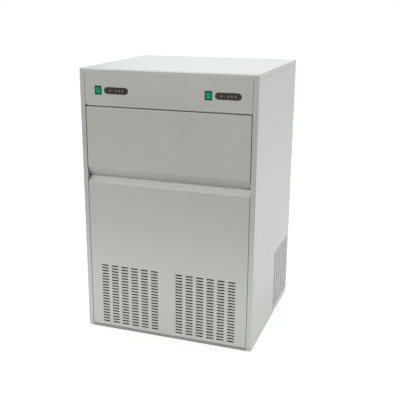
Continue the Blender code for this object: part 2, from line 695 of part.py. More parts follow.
def door():
    """The bin door: steel pan, liner with a raised plug, gasket, and the two hinge pins in the stiles."""
    def section(inset):
        back = FRONT + DOOR_DEPTH + (CUTTER_OVERRUN if inset else 0.0)
        rise = GROOVE_UPPER / GROOVE_DEPTH
        lift = inset * math.hypot(1.0, rise)
        return [
            (back, DOOR_TOP - inset),
            (FRONT + inset, DOOR_TOP - inset),
            (FRONT + inset, DOOR_LOWER_EDGE - rise * inset + lift),
            (back, DOOR_LOWER_EDGE - rise * (back - FRONT) + lift),
        ]

    shell = prism(section(0.0), -DOOR_HALF, DOOR_HALF, "X")
    hollow = prism(section(SHEET), -DOOR_HALF + SHEET, DOOR_HALF - SHEET, "X")
    reach = DOOR_DEPTH / 2
    holes = []
    for side in (-1, 1):
        holes.append(bore(HINGE_PIN_RADIUS, -reach, reach, 8, "X", (side * DOOR_HALF, HINGE_Y, HINGE_Z)))
    skin = place("door_skin", cut(shell, hollow, *holes), STEEL)

    inner = DOOR_HALF - SHEET - CLEARANCE
    liner_back = FRONT + DOOR_DEPTH - SHEET / 2
    liner_front = liner_back - LINER_WALL
    liner_top = DOOR_TOP - SHEET - CLEARANCE
    rise = GROOVE_UPPER / GROOVE_DEPTH
    liner_bottom = DOOR_LOWER_EDGE - rise * (liner_front - FRONT) + (SHEET + CLEARANCE) * 2.5
    plate = block((-inner, inner), (liner_front, liner_back), (liner_bottom, liner_top))
    plug_half = BIN_HALF_WIDTH - BIN_WALL - GASKET_WIDTH
    plug_low = BIN_SILL + PLUG_PLAY
    plug_high = HINGE_Z - GASKET_WIDTH - CLEARANCE
    plug = block(
        (-plug_half, plug_half), (liner_back - LINER_WALL / 2, liner_back + PLUG_RISE), (plug_low, plug_high)
    )
    rim = [edge for edge in plug.edges if all(v.co.y > liner_back for v in edge.verts)]
    bmesh.ops.bevel(plug, geom=rim, offset=PLUG_RISE / 2, segments=1, affect="EDGES")
    plug_hollow = block(
        (-plug_half + LINER_WALL * 3, plug_half - LINER_WALL * 3),
        (liner_front - LINER_WALL, liner_back + PLUG_RISE - LINER_WALL),
        (plug_low + LINER_WALL * 3, plug_high - LINER_WALL * 3),
    )
    liner = place("door_liner", cut(join(plate, plug), plug_hollow), WHITE_PLASTIC)

    # The gasket bears on the tub's sill, jambs and lintel. It stays below the hinge axis.
    gasket_half = BIN_HALF_WIDTH - CLEARANCE
    gasket_y = (liner_back + CLEARANCE, BIN_FRONT_Y - CLEARANCE)
    ring = block((-gasket_half, gasket_half), gasket_y, (BIN_SILL - GASKET_WIDTH, HINGE_Z))
    gap = block(
        (-plug_half - CLEARANCE * 4, plug_half + CLEARANCE * 4),
        (gasket_y[0] - PLUG_RISE, gasket_y[1] + PLUG_RISE), (BIN_SILL - CLEARANCE, plug_high + CLEARANCE),
    )
    gasket = place("door_gasket", cut(ring, gap), RUBBER)

    parent_to("door_hinge_axis", (0, HINGE_Y, HINGE_Z), [skin, liner, gasket])

    head = STILE_X + SHEET + CLEARANCE
    end = head + HINGE_HEAD_THICKNESS
    tip = DOOR_HALF - SHEET - HINGE_HEAD_THICKNESS
    for name_end, side in (("left", -1), ("right", 1)):
        profile = [
            (0, side * end), (HINGE_HEAD_RADIUS, side * end), (HINGE_HEAD_RADIUS, side * head),
            (HINGE_PIN_RADIUS, side * head), (HINGE_PIN_RADIUS, side * tip), (0, side * tip),
        ]
        pin = turned(profile, 8, "X", (0, HINGE_Y, HINGE_Z))
        place(f"door_hinge_pin_{name_end}", pin, STEEL, smooth=50)


def middle_deck():
    """The shelf over the compressor space that carries the bin."""
    rear = BACK - 2 * (SHEET + CLEARANCE)
    front = FRONT + PANEL_RETURN + CLEARANCE
    path = [
        (-INNER_SIDE, DECK_HEIGHT + SHEET - DECK_FLANGE),
        (-INNER_SIDE, DECK_HEIGHT + SHEET),
        (INNER_SIDE, DECK_HEIGHT + SHEET),
        (INNER_SIDE, DECK_HEIGHT + SHEET - DECK_FLANGE),
    ]
    deck = prism(folded(path, -SHEET), front, rear, "Y")
    return place("middle_deck", cut(deck, *deck_holes()), GALVANISED)


def deck_holes():
    """Holes in the deck for the drain and the tubes that pass up behind the bin."""
    holes = []
    for x, y, radius in [(RECESS_X, BIN_MIDDLE_Y, DRAIN_RADIUS)] + riser_places():
        holes.append(bore(radius, -SHEET, SHEET * 2, 6, "Z", (x, y, DECK_HEIGHT)))
    return holes


def riser_places():
    """Where the liquid and suction tubes of each system rise behind the bin."""
    found = []
    for x_shift in (-SYSTEM_X, SYSTEM_X):
        found.append((x_shift - RISER_SPREAD, RISER_Y, THIN_TUBE_RADIUS))
        found.append((x_shift + RISER_SPREAD, RISER_Y, TUBE_RADIUS))
    found += [(fill_x(side), VALVE_Y, THIN_TUBE_RADIUS) for side in (-1, 1)]
    return found


def fill_x(side):
    """Where each of the valve's two fill tubes rises."""
    return ports()[0][0] + side * VALVE_BODY / 4


def bin_tub():
    """The insulated tub: thick walls, open at the top, with a low front wall under the mouth."""
    half = BIN_HALF_WIDTH
    tub = block((-half, half), (BIN_FRONT_Y, BIN_REAR_Y), (BIN_BOTTOM, BIN_TOP))
    inner_half = half - BIN_WALL
    cavity = block(
        (-inner_half, inner_half), (BIN_FRONT_Y + BIN_WALL, BIN_REAR_Y - BIN_WALL),
        (BIN_BOTTOM + BIN_WALL, BIN_TOP * 2),
    )
    corners = [edge for edge in cavity.edges if any(v.co.z < BIN_TOP for v in edge.verts)]
    bmesh.ops.bevel(cavity, geom=corners, offset=BIN_CORNER, segments=2, profile=0.5, affect="EDGES")
    mouth = block(
        (-inner_half, inner_half), (BIN_FRONT_Y - BIN_WALL, BIN_FRONT_Y + BIN_WALL * 2),
        (BIN_SILL, BIN_TOP - BIN_LINTEL),
    )
    outlet = (RECESS_X, BIN_MIDDLE_Y, BIN_BOTTOM)
    drain = bore(DRAIN_RADIUS - DRAIN_WALL, -BIN_WALL, BIN_WALL * 2, 8, "Z", outlet)
    place("bin_tub", cut(tub, cavity, mouth, drain), WHITE_PLASTIC, smooth=35)


def control_group(name_end, shift):
    """One switch with its rocker, and one display with its board."""
    x = SWITCH_X + shift
    face = FRONT - CLEARANCE
    half_w = SWITCH_WIDTH / 2
    half_h = SWITCH_HEIGHT / 2
    bezel = block(
        (x - half_w, x + half_w), (face - SWITCH_BEZEL, face),
        (CONTROL_HEIGHT - half_h, CONTROL_HEIGHT + half_h),
    )
    body_w = half_w - SWITCH_RIM
    body_h = half_h - SWITCH_RIM
    body = block(
        (x - body_w, x + body_w), (face - SWITCH_BEZEL / 2, face + SWITCH_BODY_DEPTH),
        (CONTROL_HEIGHT - body_h, CONTROL_HEIGHT + body_h),
    )
    room_w = body_w - SHEET
    room_h = body_h - SHEET
    room = block(
        (x - room_w, x + room_w), (face - SWITCH_BEZEL * 2, face + SWITCH_CAVITY_DEPTH),
        (CONTROL_HEIGHT - room_h, CONTROL_HEIGHT + room_h),
    )
    axis_y = face + ROCKER_AXIS_DEPTH
    pin_hole = bore(ROCKER_PIN_RADIUS, -SWITCH_WIDTH, SWITCH_WIDTH, 8, "X", (x, axis_y, CONTROL_HEIGHT))
    place(f"switch_housing_{name_end}", cut(join(bezel, body), room, pin_hole), DARK_GREEN)

    reach = room_h - ROCKER_PLAY
    front = ROCKER_AXIS_DEPTH + SWITCH_BEZEL
    lip = reach * math.tan(math.radians(ROCKER_TILT))
    end = math.sqrt(reach**2 - front**2)
    outline = [
        (-front, end), (-front + lip * 0.8, 0.0), (-front, -end),
        (0.0, -reach), (ROCKER_BACK, -reach * 0.75), (ROCKER_BACK, reach * 0.75), (0.0, reach),
    ]
    rocker_half = room_w - ROCKER_PLAY
    rocker = prism(outline, -rocker_half, rocker_half, "X")
    pin_reach = body_w - CLEARANCE
    pins = turned(
        [(0, -pin_reach), (ROCKER_PIN_RADIUS, -pin_reach), (ROCKER_PIN_RADIUS, pin_reach), (0, pin_reach)],
        6, "X",
    )
    place(
        f"rocker_{name_end}", join(rocker, pins), GREEN_LENS,
        (x, axis_y, CONTROL_HEIGHT), (math.radians(ROCKER_TILT), 0, 0),
    )

    middle = DISPLAY_X + shift
    outline = [(middle + a, CONTROL_HEIGHT + b) for a, b in stadium(DISPLAY_LENGTH, DISPLAY_HEIGHT)]
    lens_back = FRONT + DISPLAY_THICKNESS
    lens = prism(outline, FRONT - DISPLAY_PROUD, lens_back, "Y")
    place(f"display_lens_{name_end}", lens, BLACK_PLASTIC, smooth=40)
    board_y = lens_back + CLEARANCE
    board = block(
        (middle - BOARD_LENGTH / 2, middle + BOARD_LENGTH / 2), (board_y, board_y + BOARD_THICKNESS),
        (CONTROL_HEIGHT - BOARD_HEIGHT / 2, CONTROL_HEIGHT + BOARD_HEIGHT / 2),
    )
    chip_start = board_y + BOARD_THICKNESS / 2
    chips = []
    for step, length, height, depth in (
        (-BOARD_BLOCK_STEP, BOARD_BLOCK_LENGTH, BOARD_BLOCK_HEIGHT, BOARD_BLOCK_DEPTH),
        (BOARD_PLUG_STEP, BOARD_PLUG_LENGTH, BOARD_PLUG_HEIGHT, BOARD_PLUG_DEPTH),
    ):
        chips.append(block(
            (middle + step - length / 2, middle + step + length / 2), (chip_start, board_y + depth),
            (CONTROL_HEIGHT - height / 2, CONTROL_HEIGHT + height / 2),
        ))
    place(f"control_board_{name_end}", join(board, *chips), BOARD_GREEN)


def evaporator_deck():
    """The sheet across the cabinet that carries both evaporators, with bent tabs for the tray spindles."""
    front = EVAPORATOR_Y - EVAPORATOR_DECK_AHEAD
    y = (front, front + EVAPORATOR_DECK_DEPTH)
    path = [
        (-INNER_SIDE, EVAPORATOR_DECK + DECK_FLANGE),
        (-INNER_SIDE, EVAPORATOR_DECK),
        (INNER_SIDE, EVAPORATOR_DECK),
        (INNER_SIDE, EVAPORATOR_DECK + DECK_FLANGE),
    ]
    deck = prism(folded(path, SHEET), *y, "Y")
    tabs = []
    bores = []
    for centre in (-SYSTEM_X, SYSTEM_X):
        for side in (-1, 1):
            inner = centre + side * (TRAY_LENGTH / 2 + TAB_GAP)
            x = sorted((inner, inner + side * SHEET * 1.5))
            tabs.append(block(
                x, (TRAY_AXIS_Y - TAB_WIDTH / 2, TRAY_AXIS_Y + TAB_WIDTH / 2),
                (TRAY_AXIS_Z - TAB_WIDTH / 2, EVAPORATOR_DECK + SHEET / 2),
            ))
            spindle = (inner, TRAY_AXIS_Y, TRAY_AXIS_Z)
            bores.append(bore(SHAFT_RADIUS, -SHEET * 3, SHEET * 3, 6, "X", spindle))
        bores.append(bore(THIN_TUBE_RADIUS, -SHEET, SHEET * 2, 6, "Z", (centre, FILL_Y, EVAPORATOR_DECK)))
    place("evaporator_deck", cut(join(deck, *tabs), *bores), GALVANISED)


def evaporator(name_end, x):
    """A copper header with two rows of nickel-plated fingers on which the bullet ice grows."""
    half = EVAPORATOR_LENGTH / 2
    header = block(
        (x - half, x + half), (EVAPORATOR_Y - EVAPORATOR_WIDTH / 2, EVAPORATOR_Y + EVAPORATOR_WIDTH / 2),
        (HEADER_BOTTOM, HEADER_BOTTOM + EVAPORATOR_HEIGHT),
    )
    profile = [
        (0, EVAPORATOR_HEIGHT / 2), (FINGER_RADIUS, EVAPORATOR_HEIGHT / 2),
        (FINGER_RADIUS, FINGER_TIP_RADIUS - FINGER_LENGTH), (FINGER_TIP_RADIUS, -FINGER_LENGTH),
        (0, -FINGER_LENGTH),
    ]
    fingers = []
    for column in range(FINGER_COLUMNS):
        for row in range(FINGER_ROWS):
            place_x = x + (column - (FINGER_COLUMNS - 1) / 2) * FINGER_PITCH
            place_y = EVAPORATOR_Y + (row - (FINGER_ROWS - 1) / 2) * FINGER_ROW_PITCH
            fingers.append(turned(profile, 6, "Z", (place_x, place_y, HEADER_BOTTOM)))
    place(f"evaporator_{name_end}", boolean(header, merged(*fingers), "UNION"), NICKEL, smooth=50)


def water_tray(name_end, x):
    """The trough that wets the fingers and tips the rest water out, with a spindle stub at each end."""
    half = TRAY_LENGTH / 2
    y = (TRAY_AXIS_Y - TRAY_WIDTH + SHAFT_RADIUS * 2, TRAY_AXIS_Y + SHAFT_RADIUS * 2)
    z = (TRAY_TOP - TRAY_DEPTH, TRAY_TOP)
    tray = block((x - half, x + half), y, z)
    hollow = block(
        (x - half + TRAY_WALL, x + half - TRAY_WALL), (y[0] + TRAY_WALL, y[1] - TRAY_WALL),
        (z[0] + TRAY_WALL, z[1] + TRAY_WALL),
    )
    tray = cut(tray, hollow)
    stubs = []
    for side in (-1, 1):
        stubs.append(turned(
            [(0, side * (half - TRAY_WALL / 2)), (SHAFT_RADIUS, side * (half - TRAY_WALL / 2)),
             (SHAFT_RADIUS, side * (half + SHAFT_LENGTH)), (0, side * (half + SHAFT_LENGTH))],
            6, "X", (x, TRAY_AXIS_Y, TRAY_AXIS_Z),
        ))
    made = place(f"water_tray_{name_end}", join(tray, *stubs), WHITE_PLASTIC)
    parent_to(f"tray_axis_{name_end}", (x, TRAY_AXIS_Y, TRAY_AXIS_Z), [made])

    # The gear motor sits outside the outer tab and holds the spindle in its bore.
    outward = -1 if x < 0 else 1
    start = half + TAB_GAP + SHEET * 1.5 + CLEARANCE
    reach = sorted((x + outward * start, x + outward * (start + MOTOR_LENGTH)))
    body = block(
        reach, (TRAY_AXIS_Y - MOTOR_BODY / 2, TRAY_AXIS_Y + MOTOR_BODY / 2),
        (TRAY_AXIS_Z - MOTOR_BODY / 2, TRAY_AXIS_Z + MOTOR_BODY / 2),
    )
    long_edges = [e for e in body.edges if abs(e.verts[0].co.x - e.verts[1].co.x) > MOTOR_LENGTH / 2]
    bmesh.ops.bevel(body, geom=long_edges, offset=MOTOR_BODY / 8, segments=1, affect="EDGES")
    depth = SHAFT_LENGTH - TAB_GAP - SHEET
    hole = bore(SHAFT_RADIUS, -depth, depth, 6, "X", (x + outward * start, TRAY_AXIS_Y, TRAY_AXIS_Z))
    place(f"tray_motor_{name_end}", cut(body, hole), GALVANISED)


def condenser(name_end, x):
    """The finned block behind the front vents, with end plates that stand on the base pan."""
    half = CONDENSER_WIDTH / 2 - CONDENSER_PLATE
    pitch = 2 * half / CONDENSER_FINS
    back = CONDENSER_Y + CONDENSER_THICKNESS
    comb = []
    for fin in range(CONDENSER_FINS):
        left = x - half + fin * pitch
        comb += [
            (left, CONDENSER_Y), (left + pitch * 0.5, CONDENSER_Y),
            (left + pitch * 0.5, CONDENSER_Y + CONDENSER_GROOVE),
            (left + pitch, CONDENSER_Y + CONDENSER_GROOVE),
        ]
    comb[-1] = (x + half, CONDENSER_Y + CONDENSER_GROOVE)
    comb += [(x + half, back), (x - half, back)]
    core = prism(comb, CONDENSER_Z, CONDENSER_Z + CONDENSER_HEIGHT, "Z")
    plates = []
    for side in (-1, 1):
        plate_x = sorted((x + side * (half - CONDENSER_PLATE / 2), x + side * (half + CONDENSER_PLATE)))
        plates.append(block(
            plate_x, (CONDENSER_Y + CONDENSER_GROOVE / 2, back), (FLOOR_TOP, CONDENSER_Z + CONDENSER_HEIGHT)
        ))
    place(f"condenser_{name_end}", join(core, *plates), ALUMINIUM)


def fan_set(name_end, x):
    """Shroud with its ring, the motor on a cross arm, and the fan on its shaft."""
    half = CONDENSER_WIDTH / 2
    top = CONDENSER_Z + CONDENSER_HEIGHT
    plate = block((x - half, x + half), (SHROUD_Y, SHROUD_Y + SHROUD_WALL), (FLOOR_TOP, top))
    ring = turned(
        [(0, SHROUD_WALL / 2), (SHROUD_RADIUS + SHROUD_WALL, SHROUD_WALL / 2),
         (SHROUD_RADIUS + SHROUD_WALL, SHROUD_RING), (0, SHROUD_RING)],
        14, "Y", (x, SHROUD_Y, FAN_Z),
    )
    throat = turned(
        [(0, -SHROUD_WALL), (SHROUD_RADIUS, -SHROUD_WALL),
         (SHROUD_RADIUS, SHROUD_RING * 2), (0, SHROUD_RING * 2)],
        14, "Y", (x, SHROUD_Y, FAN_Z),
    )
    place(f"fan_shroud_{name_end}", cut(join(plate, ring), throat), BLACK_ENAMEL, smooth=40)

    # Fan: hub, pitched blades and the shaft that runs back into the motor.
    hub_y = SHROUD_Y + FAN_START
    hub_back = hub_y + FAN_HUB_LENGTH
    motor_front = hub_back + FAN_MOTOR_GAP
    shaft_end = motor_front + FAN_MOTOR_LENGTH / 2
    fan = turned(
        [(0, 0), (FAN_HUB_RADIUS * 0.8, 0), (FAN_HUB_RADIUS, FAN_HUB_RADIUS * 0.2),
         (FAN_HUB_RADIUS, FAN_HUB_LENGTH), (FAN_SHAFT_RADIUS, FAN_HUB_LENGTH),
         (FAN_SHAFT_RADIUS, shaft_end - hub_y), (0, shaft_end - hub_y)],
        10, "Y",
    )
    blades = []
    for index in range(FAN_BLADES):
        root = FAN_HUB_RADIUS * 0.85
        blade = bmesh.new()
        bmesh.ops.create_cube(blade, size=1.0)
        length = FAN_RADIUS - root
        chord = FAN_RADIUS * 0.55
        blade.transform(Matrix.Diagonal((chord, FAN_BLADE_THICKNESS, length, 1.0)))
        for vert in blade.verts:
            narrow = 0.62 if vert.co.z < 0 else 1.0
            vert.co.x *= narrow
        blade.transform(Matrix.Rotation(math.radians(FAN_BLADE_TWIST), 4, "Z"))
        out = (0, FAN_HUB_LENGTH / 2 + FAN_BLADE_THICKNESS, root + length / 2)
        blade.transform(Matrix.Translation(out))
        blade.transform(Matrix.Rotation(math.tau * index / FAN_BLADES, 4, "Y"))
        blades.append(blade)
    # The blade tips are trimmed to the fan's circle.
    deep = FAN_HUB_LENGTH * 2
    trim = turned(
        [(0, -deep), (FAN_RADIUS, -deep), (FAN_RADIUS, deep), (0, deep)],
        15, "Y", (0, FAN_HUB_LENGTH / 2, 0),
    )
    blades = boolean(merged(*blades), trim, "INTERSECT")
    made = place(f"fan_{name_end}", boolean(fan, blades, "UNION"), BLACK_PLASTIC, (x, hub_y, FAN_Z))
    made.data.shade_flat()

    arm = ARM_WIDTH / 2
    motor = turned(
        [(0, 0), (FAN_MOTOR_RADIUS * 0.7, 0), (FAN_MOTOR_RADIUS, FAN_MOTOR_RADIUS * 0.25),
         (FAN_MOTOR_RADIUS, FAN_MOTOR_LENGTH), (0, FAN_MOTOR_LENGTH)],
        10, "Y", (x, motor_front, FAN_Z),
    )
    depth = FAN_MOTOR_LENGTH / 2 + CLEARANCE
    hole = bore(FAN_SHAFT_RADIUS, -depth, depth, 8, "Y", (x, motor_front, FAN_Z))
    place(f"fan_motor_{name_end}", cut(motor, hole), BLACK_ENAMEL, smooth=40)

    # The bracket grips the motor's rear face and reaches the shroud plate outside the ring.
    rear = motor_front + FAN_MOTOR_LENGTH + CLEARANCE
    foot = half - ARM_WIDTH
    near = SHROUD_Y + SHROUD_WALL + CLEARANCE
    path = [
        (x - half, near), (x - foot, near), (x - foot, rear),
        (x + foot, rear), (x + foot, near), (x + half, near),
    ]
    bracket = prism(folded(path, SHEET), FAN_Z - arm, FAN_Z + arm, "Z")
    place(f"fan_bracket_{name_end}", bracket, GALVANISED)


def compressor(name_end, x):
    """The hermetic can with its welded foot plate, and its terminal cover."""
    plate_z = FLOOR_TOP + MOUNT_HEIGHT + CLEARANCE
    seam = COMPRESSOR_RADIUS * COMPRESSOR_SEAM
    can = turned(
        [(0, 0), (COMPRESSOR_RADIUS * 0.7, 0), (COMPRESSOR_RADIUS, COMPRESSOR_HEIGHT * 0.16),
         (COMPRESSOR_RADIUS, COMPRESSOR_HEIGHT * 0.42), (seam, COMPRESSOR_HEIGHT * 0.43),
         (seam, COMPRESSOR_HEIGHT * 0.48), (COMPRESSOR_RADIUS * 0.98, COMPRESSOR_HEIGHT * 0.50),
         (COMPRESSOR_RADIUS * 0.95, COMPRESSOR_HEIGHT * 0.80), (COMPRESSOR_RADIUS * 0.6, COMPRESSOR_HEIGHT),
         (0, COMPRESSOR_HEIGHT)],
        10, "Z", (x, COMPRESSOR_Y, plate_z + COMPRESSOR_PLATE / 2),
    )
    reach_x = COMPRESSOR_FOOT_X + MOUNT_RADIUS
    reach_y = COMPRESSOR_FOOT_Y + MOUNT_RADIUS
    foot = block(
        (x - reach_x, x + reach_x), (COMPRESSOR_Y - reach_y, COMPRESSOR_Y + reach_y),
        (plate_z, plate_z + COMPRESSOR_PLATE),
    )
    place(f"compressor_{name_end}", join(foot, can), BLACK_ENAMEL, smooth=40)

    # The terminal cover is hollowed to the can, which it sits against.
    reach = seam + CLEARANCE
    inner = x - reach
    low = plate_z + COMPRESSOR_HEIGHT * 0.4
    cover = block(
        (inner - TERMINAL_DEPTH, inner + TERMINAL_EDGE),
        (COMPRESSOR_Y - TERMINAL_WIDTH / 2, COMPRESSOR_Y + TERMINAL_WIDTH / 2), (low, low + TERMINAL_HEIGHT),
    )
    outer = [edge for edge in cover.edges if all(v.co.x < inner for v in edge.verts)]
    bmesh.ops.bevel(cover, geom=outer, offset=TERMINAL_EDGE, segments=1, affect="EDGES")
    high = TERMINAL_HEIGHT * 2
    can_section = [(0, -high), (reach, -high), (reach, high), (0, high)]
    round_can = turned(can_section, 10, "Z", (x, COMPRESSOR_Y, low))
    place(f"terminal_cover_{name_end}", cut(cover, round_can), BLACK_PLASTIC)


def foot_places(x):
    """Centres of the four mounts under one compressor."""
    return [
        (x + i * COMPRESSOR_FOOT_X, COMPRESSOR_Y + j * COMPRESSOR_FOOT_Y)
        for i in (-1, 1) for j in (-1, 1)
    ]


def mounting_boss(x, y):
    """A raised mount on the base pan, under one corner of the compressor's foot plate."""
    low = BASE_FLOOR / 2
    top = FLOOR_TOP + MOUNT_HEIGHT
    return turned([(0, low), (MOUNT_RADIUS, low), (MOUNT_RADIUS * 0.8, top), (0, top)], 5, "Z", (x, y, 0))


def refrigerant_lines(name_end, x):
    """The drier and the three tubes of one system."""
    can_z = FLOOR_TOP + MOUNT_HEIGHT + CLEARANCE + COMPRESSOR_PLATE / 2
    drier_z = can_z + COMPRESSOR_HEIGHT * 0.62
    drier_x = x - RISER_SPREAD
    neck = DRIER_RADIUS * 0.6
    shoulder = DRIER_RADIUS * 1.4
    drier = turned(
        [(0, 0), (THIN_TUBE_RADIUS, 0), (THIN_TUBE_RADIUS, neck), (DRIER_RADIUS, shoulder),
         (DRIER_RADIUS, DRIER_LENGTH - shoulder), (THIN_TUBE_RADIUS, DRIER_LENGTH - neck),
         (THIN_TUBE_RADIUS, DRIER_LENGTH), (0, DRIER_LENGTH)],
        6, "Z", (drier_x, RISER_Y, drier_z),
    )
    place(f"filter_drier_{name_end}", drier, COPPER, smooth=50)

    header_back = EVAPORATOR_Y + EVAPORATOR_WIDTH / 2 + CLEARANCE
    over = HEADER_BOTTOM + EVAPORATOR_HEIGHT / 2
    tube(f"liquid_tube_{name_end}", [
        (drier_x, RISER_Y, drier_z + DRIER_LENGTH + CLEARANCE),
        (drier_x, RISER_Y, over),
        (drier_x, header_back, over),
    ], THIN_TUBE_RADIUS * 0.8, COPPER)

    can_top = can_z + COMPRESSOR_HEIGHT + CLEARANCE
    suction_x = x + RISER_SPREAD
    bend_z = can_top + TUBE_RADIUS * 4
    tube(f"suction_tube_{name_end}", [
        (x, COMPRESSOR_Y, can_top),
        (x, COMPRESSOR_Y, bend_z),
        (suction_x, COMPRESSOR_Y, bend_z),
        (suction_x, RISER_Y, bend_z),
        (suction_x, RISER_Y, over),
        (suction_x, header_back, over),
    ], TUBE_RADIUS, COPPER)

    side_x = x + COMPRESSOR_RADIUS * COMPRESSOR_SEAM + CLEARANCE
    plate_side = x + CONDENSER_WIDTH / 2 + CLEARANCE
    outlet_z = can_z + COMPRESSOR_HEIGHT * 0.45
    inlet_z = CONDENSER_Z + CONDENSER_HEIGHT * 0.85
    lane_x = plate_side + TUBE_RADIUS * 4
    middle_y = CONDENSER_Y + CONDENSER_THICKNESS * 0.6
    tube(f"discharge_tube_{name_end}", [
        (side_x, COMPRESSOR_Y, outlet_z),
        (lane_x, COMPRESSOR_Y, outlet_z),
        (lane_x, COMPRESSOR_Y, inlet_z),
        (lane_x, middle_y, inlet_z),
        (plate_side, middle_y, inlet_z),
    ], THIN_TUBE_RADIUS, COPPER)

    low_z = CONDENSER_Z + CONDENSER_HEIGHT * 0.12
    other_side = x - CONDENSER_WIDTH / 2 - CLEARANCE
    lane = other_side - TUBE_RADIUS * 3.5
    tube(f"condenser_tube_{name_end}", [
        (other_side, middle_y, low_z),
        (lane, middle_y, low_z),
        (lane, RISER_Y, low_z),
        (drier_x, RISER_Y, low_z),
        (drier_x, RISER_Y, drier_z - CLEARANCE),
    ], THIN_TUBE_RADIUS, COPPER)


def rear_connections():
    """Water inlet valve, drain and cable gland in the recess, and the relay box below it."""
    wall = BACK - RECESS_DEPTH
    (inlet_x, inlet_r), (drain_x, drain_r), (gland_x, gland_r) = ports()
    threads = turned(
        [(0, -VALVE_BODY / 4), (inlet_r, -VALVE_BODY / 4), (inlet_r, VALVE_BODY / 2), (0, VALVE_BODY / 2)],
        10, "Y", (inlet_x, wall, RECESS_Z),
    )
    body_back = wall - CLEARANCE
    body = block(
        (inlet_x - VALVE_BODY / 2, inlet_x + VALVE_BODY / 2), (body_back - VALVE_BODY * 0.55, body_back),
        (RECESS_Z - VALVE_BODY / 2, RECESS_Z + VALVE_BODY),
    )
    place("water_inlet_valve", join(body, threads), WHITE_PLASTIC)

    thick = SHEET + CLEARANCE
    nut = gland_r * 1.3
    core = gland_r * 0.5
    gland = turned(
        [(core, -GLAND_NUT), (nut, -GLAND_NUT), (nut, -CLEARANCE), (gland_r, -CLEARANCE), (gland_r, thick),
         (nut, thick), (gland_r * 1.1, thick + GLAND_NUT), (core, thick + GLAND_NUT)],
        6, "Y", (gland_x, wall, RECESS_Z),
    )
    place("cable_gland", gland, BLACK_PLASTIC)

    seat = BACK - SHEET - CLEARANCE
    box = block(
        (RECESS_X - RELAY_WIDTH / 2, RECESS_X + RELAY_WIDTH / 2), (seat - RELAY_DEPTH, seat),
        (RELAY_TOP - RELAY_HEIGHT, RELAY_TOP),
    )
    face = [edge for edge in box.edges if all(v.co.y < seat - RELAY_DEPTH / 2 for v in edge.verts)]
    bmesh.ops.bevel(box, geom=face, offset=SHEET * 2, segments=1, affect="EDGES")
    place("relay_box", box, GALVANISED)

    # The drain runs down from the bin and out through the recess.
    tube("bin_drain_tube", [
        (drain_x, BIN_MIDDLE_Y, BIN_BOTTOM - CLEARANCE),
        (drain_x, BIN_MIDDLE_Y, RECESS_Z),
        (drain_x, BACK - RECESS_DEPTH / 2, RECESS_Z),
    ], drain_r, WHITE_PLASTIC, 3)

    for name_end, side in (("left", -1), ("right", 1)):
        rise_x = fill_x(side)
        tube(f"fill_tube_{name_end}", [
            (rise_x, VALVE_Y, RECESS_Z + VALVE_BODY + CLEARANCE),
            (rise_x, VALVE_Y, FILL_Z),
            (rise_x, FILL_Y, FILL_Z),
            (side * SYSTEM_X, FILL_Y, FILL_Z),
            (side * SYSTEM_X, FILL_Y, TRAY_TOP + FILL_DROP_GAP),
        ], THIN_TUBE_RADIUS, WHITE_PLASTIC)


def build():
    clear_scene()
    base_pan()
    side_panel("left_side_panel", -1)
    side_panel("right_side_panel", 1)
    rear_panel()
    top_cover()
    control_fascia()
    lower_front_panel()
    door()
    middle_deck()
    bin_tub()
    evaporator_deck()
    for name_end, x, shift in (("left", -SYSTEM_X, 0.0), ("right", SYSTEM_X, CONTROL_SHIFT)):
        control_group(name_end, shift)
        evaporator(name_end, x)
        water_tray(name_end, x)
        condenser(name_end, x)
        fan_set(name_end, x)
        compressor(name_end, x)
        refrigerant_lines(name_end, x)
    rear_connections()


build()
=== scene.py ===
# Ice machine: finishes, small fittings, floor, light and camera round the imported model.
import json
import math

import bmesh
import bpy
from mathutils import Matrix, Vector


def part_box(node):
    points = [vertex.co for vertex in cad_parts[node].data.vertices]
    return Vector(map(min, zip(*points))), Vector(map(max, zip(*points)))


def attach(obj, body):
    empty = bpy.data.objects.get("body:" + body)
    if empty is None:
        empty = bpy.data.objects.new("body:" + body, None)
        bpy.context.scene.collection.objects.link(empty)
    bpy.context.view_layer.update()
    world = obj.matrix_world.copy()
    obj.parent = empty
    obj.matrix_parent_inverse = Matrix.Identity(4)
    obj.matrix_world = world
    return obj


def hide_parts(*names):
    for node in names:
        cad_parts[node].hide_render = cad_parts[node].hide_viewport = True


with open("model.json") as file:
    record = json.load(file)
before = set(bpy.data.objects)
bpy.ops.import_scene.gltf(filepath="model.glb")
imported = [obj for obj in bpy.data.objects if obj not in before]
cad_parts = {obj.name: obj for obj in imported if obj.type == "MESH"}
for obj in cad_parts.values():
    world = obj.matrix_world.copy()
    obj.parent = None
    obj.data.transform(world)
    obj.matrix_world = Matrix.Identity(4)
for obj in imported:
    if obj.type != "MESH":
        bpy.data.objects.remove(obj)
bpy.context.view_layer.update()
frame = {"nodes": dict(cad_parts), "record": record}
nodes = frame["nodes"]
ends = ("left", "right")
# Points nearer to each other than this count as one.
touch = 0.000001
print("loaded", len(nodes), "nodes")


# Camera, at the photograph's place: three quarters from the right, a little above the cover.
cameraSettings = {
    "place": (0.8897, -2.5403, 1.2520),
    "azimuth": 20.35,
    "elevation": 16.76,
    "lens": 62.87,
    "sensor": 36.0,
    "shift": (0.047, 0.01425),
    "clip": (0.05, 60.0),
}


def makeCamera(settings):
    data = bpy.data.cameras.new("camera")
    data.lens = settings["lens"]
    data.sensor_width = settings["sensor"]
    data.shift_x, data.shift_y = settings["shift"]
    data.dof.use_dof = False
    data.clip_start, data.clip_end = settings["clip"]
    camera = bpy.data.objects.new("camera", data)
    camera.location = settings["place"]
    tilt = math.radians(90 - settings["elevation"])
    camera.rotation_euler = (tilt, 0, math.radians(settings["azimuth"]))
    bpy.context.scene.collection.objects.link(camera)
    bpy.context.scene.camera = camera


makeCamera(cameraSettings)
print("camera placed")


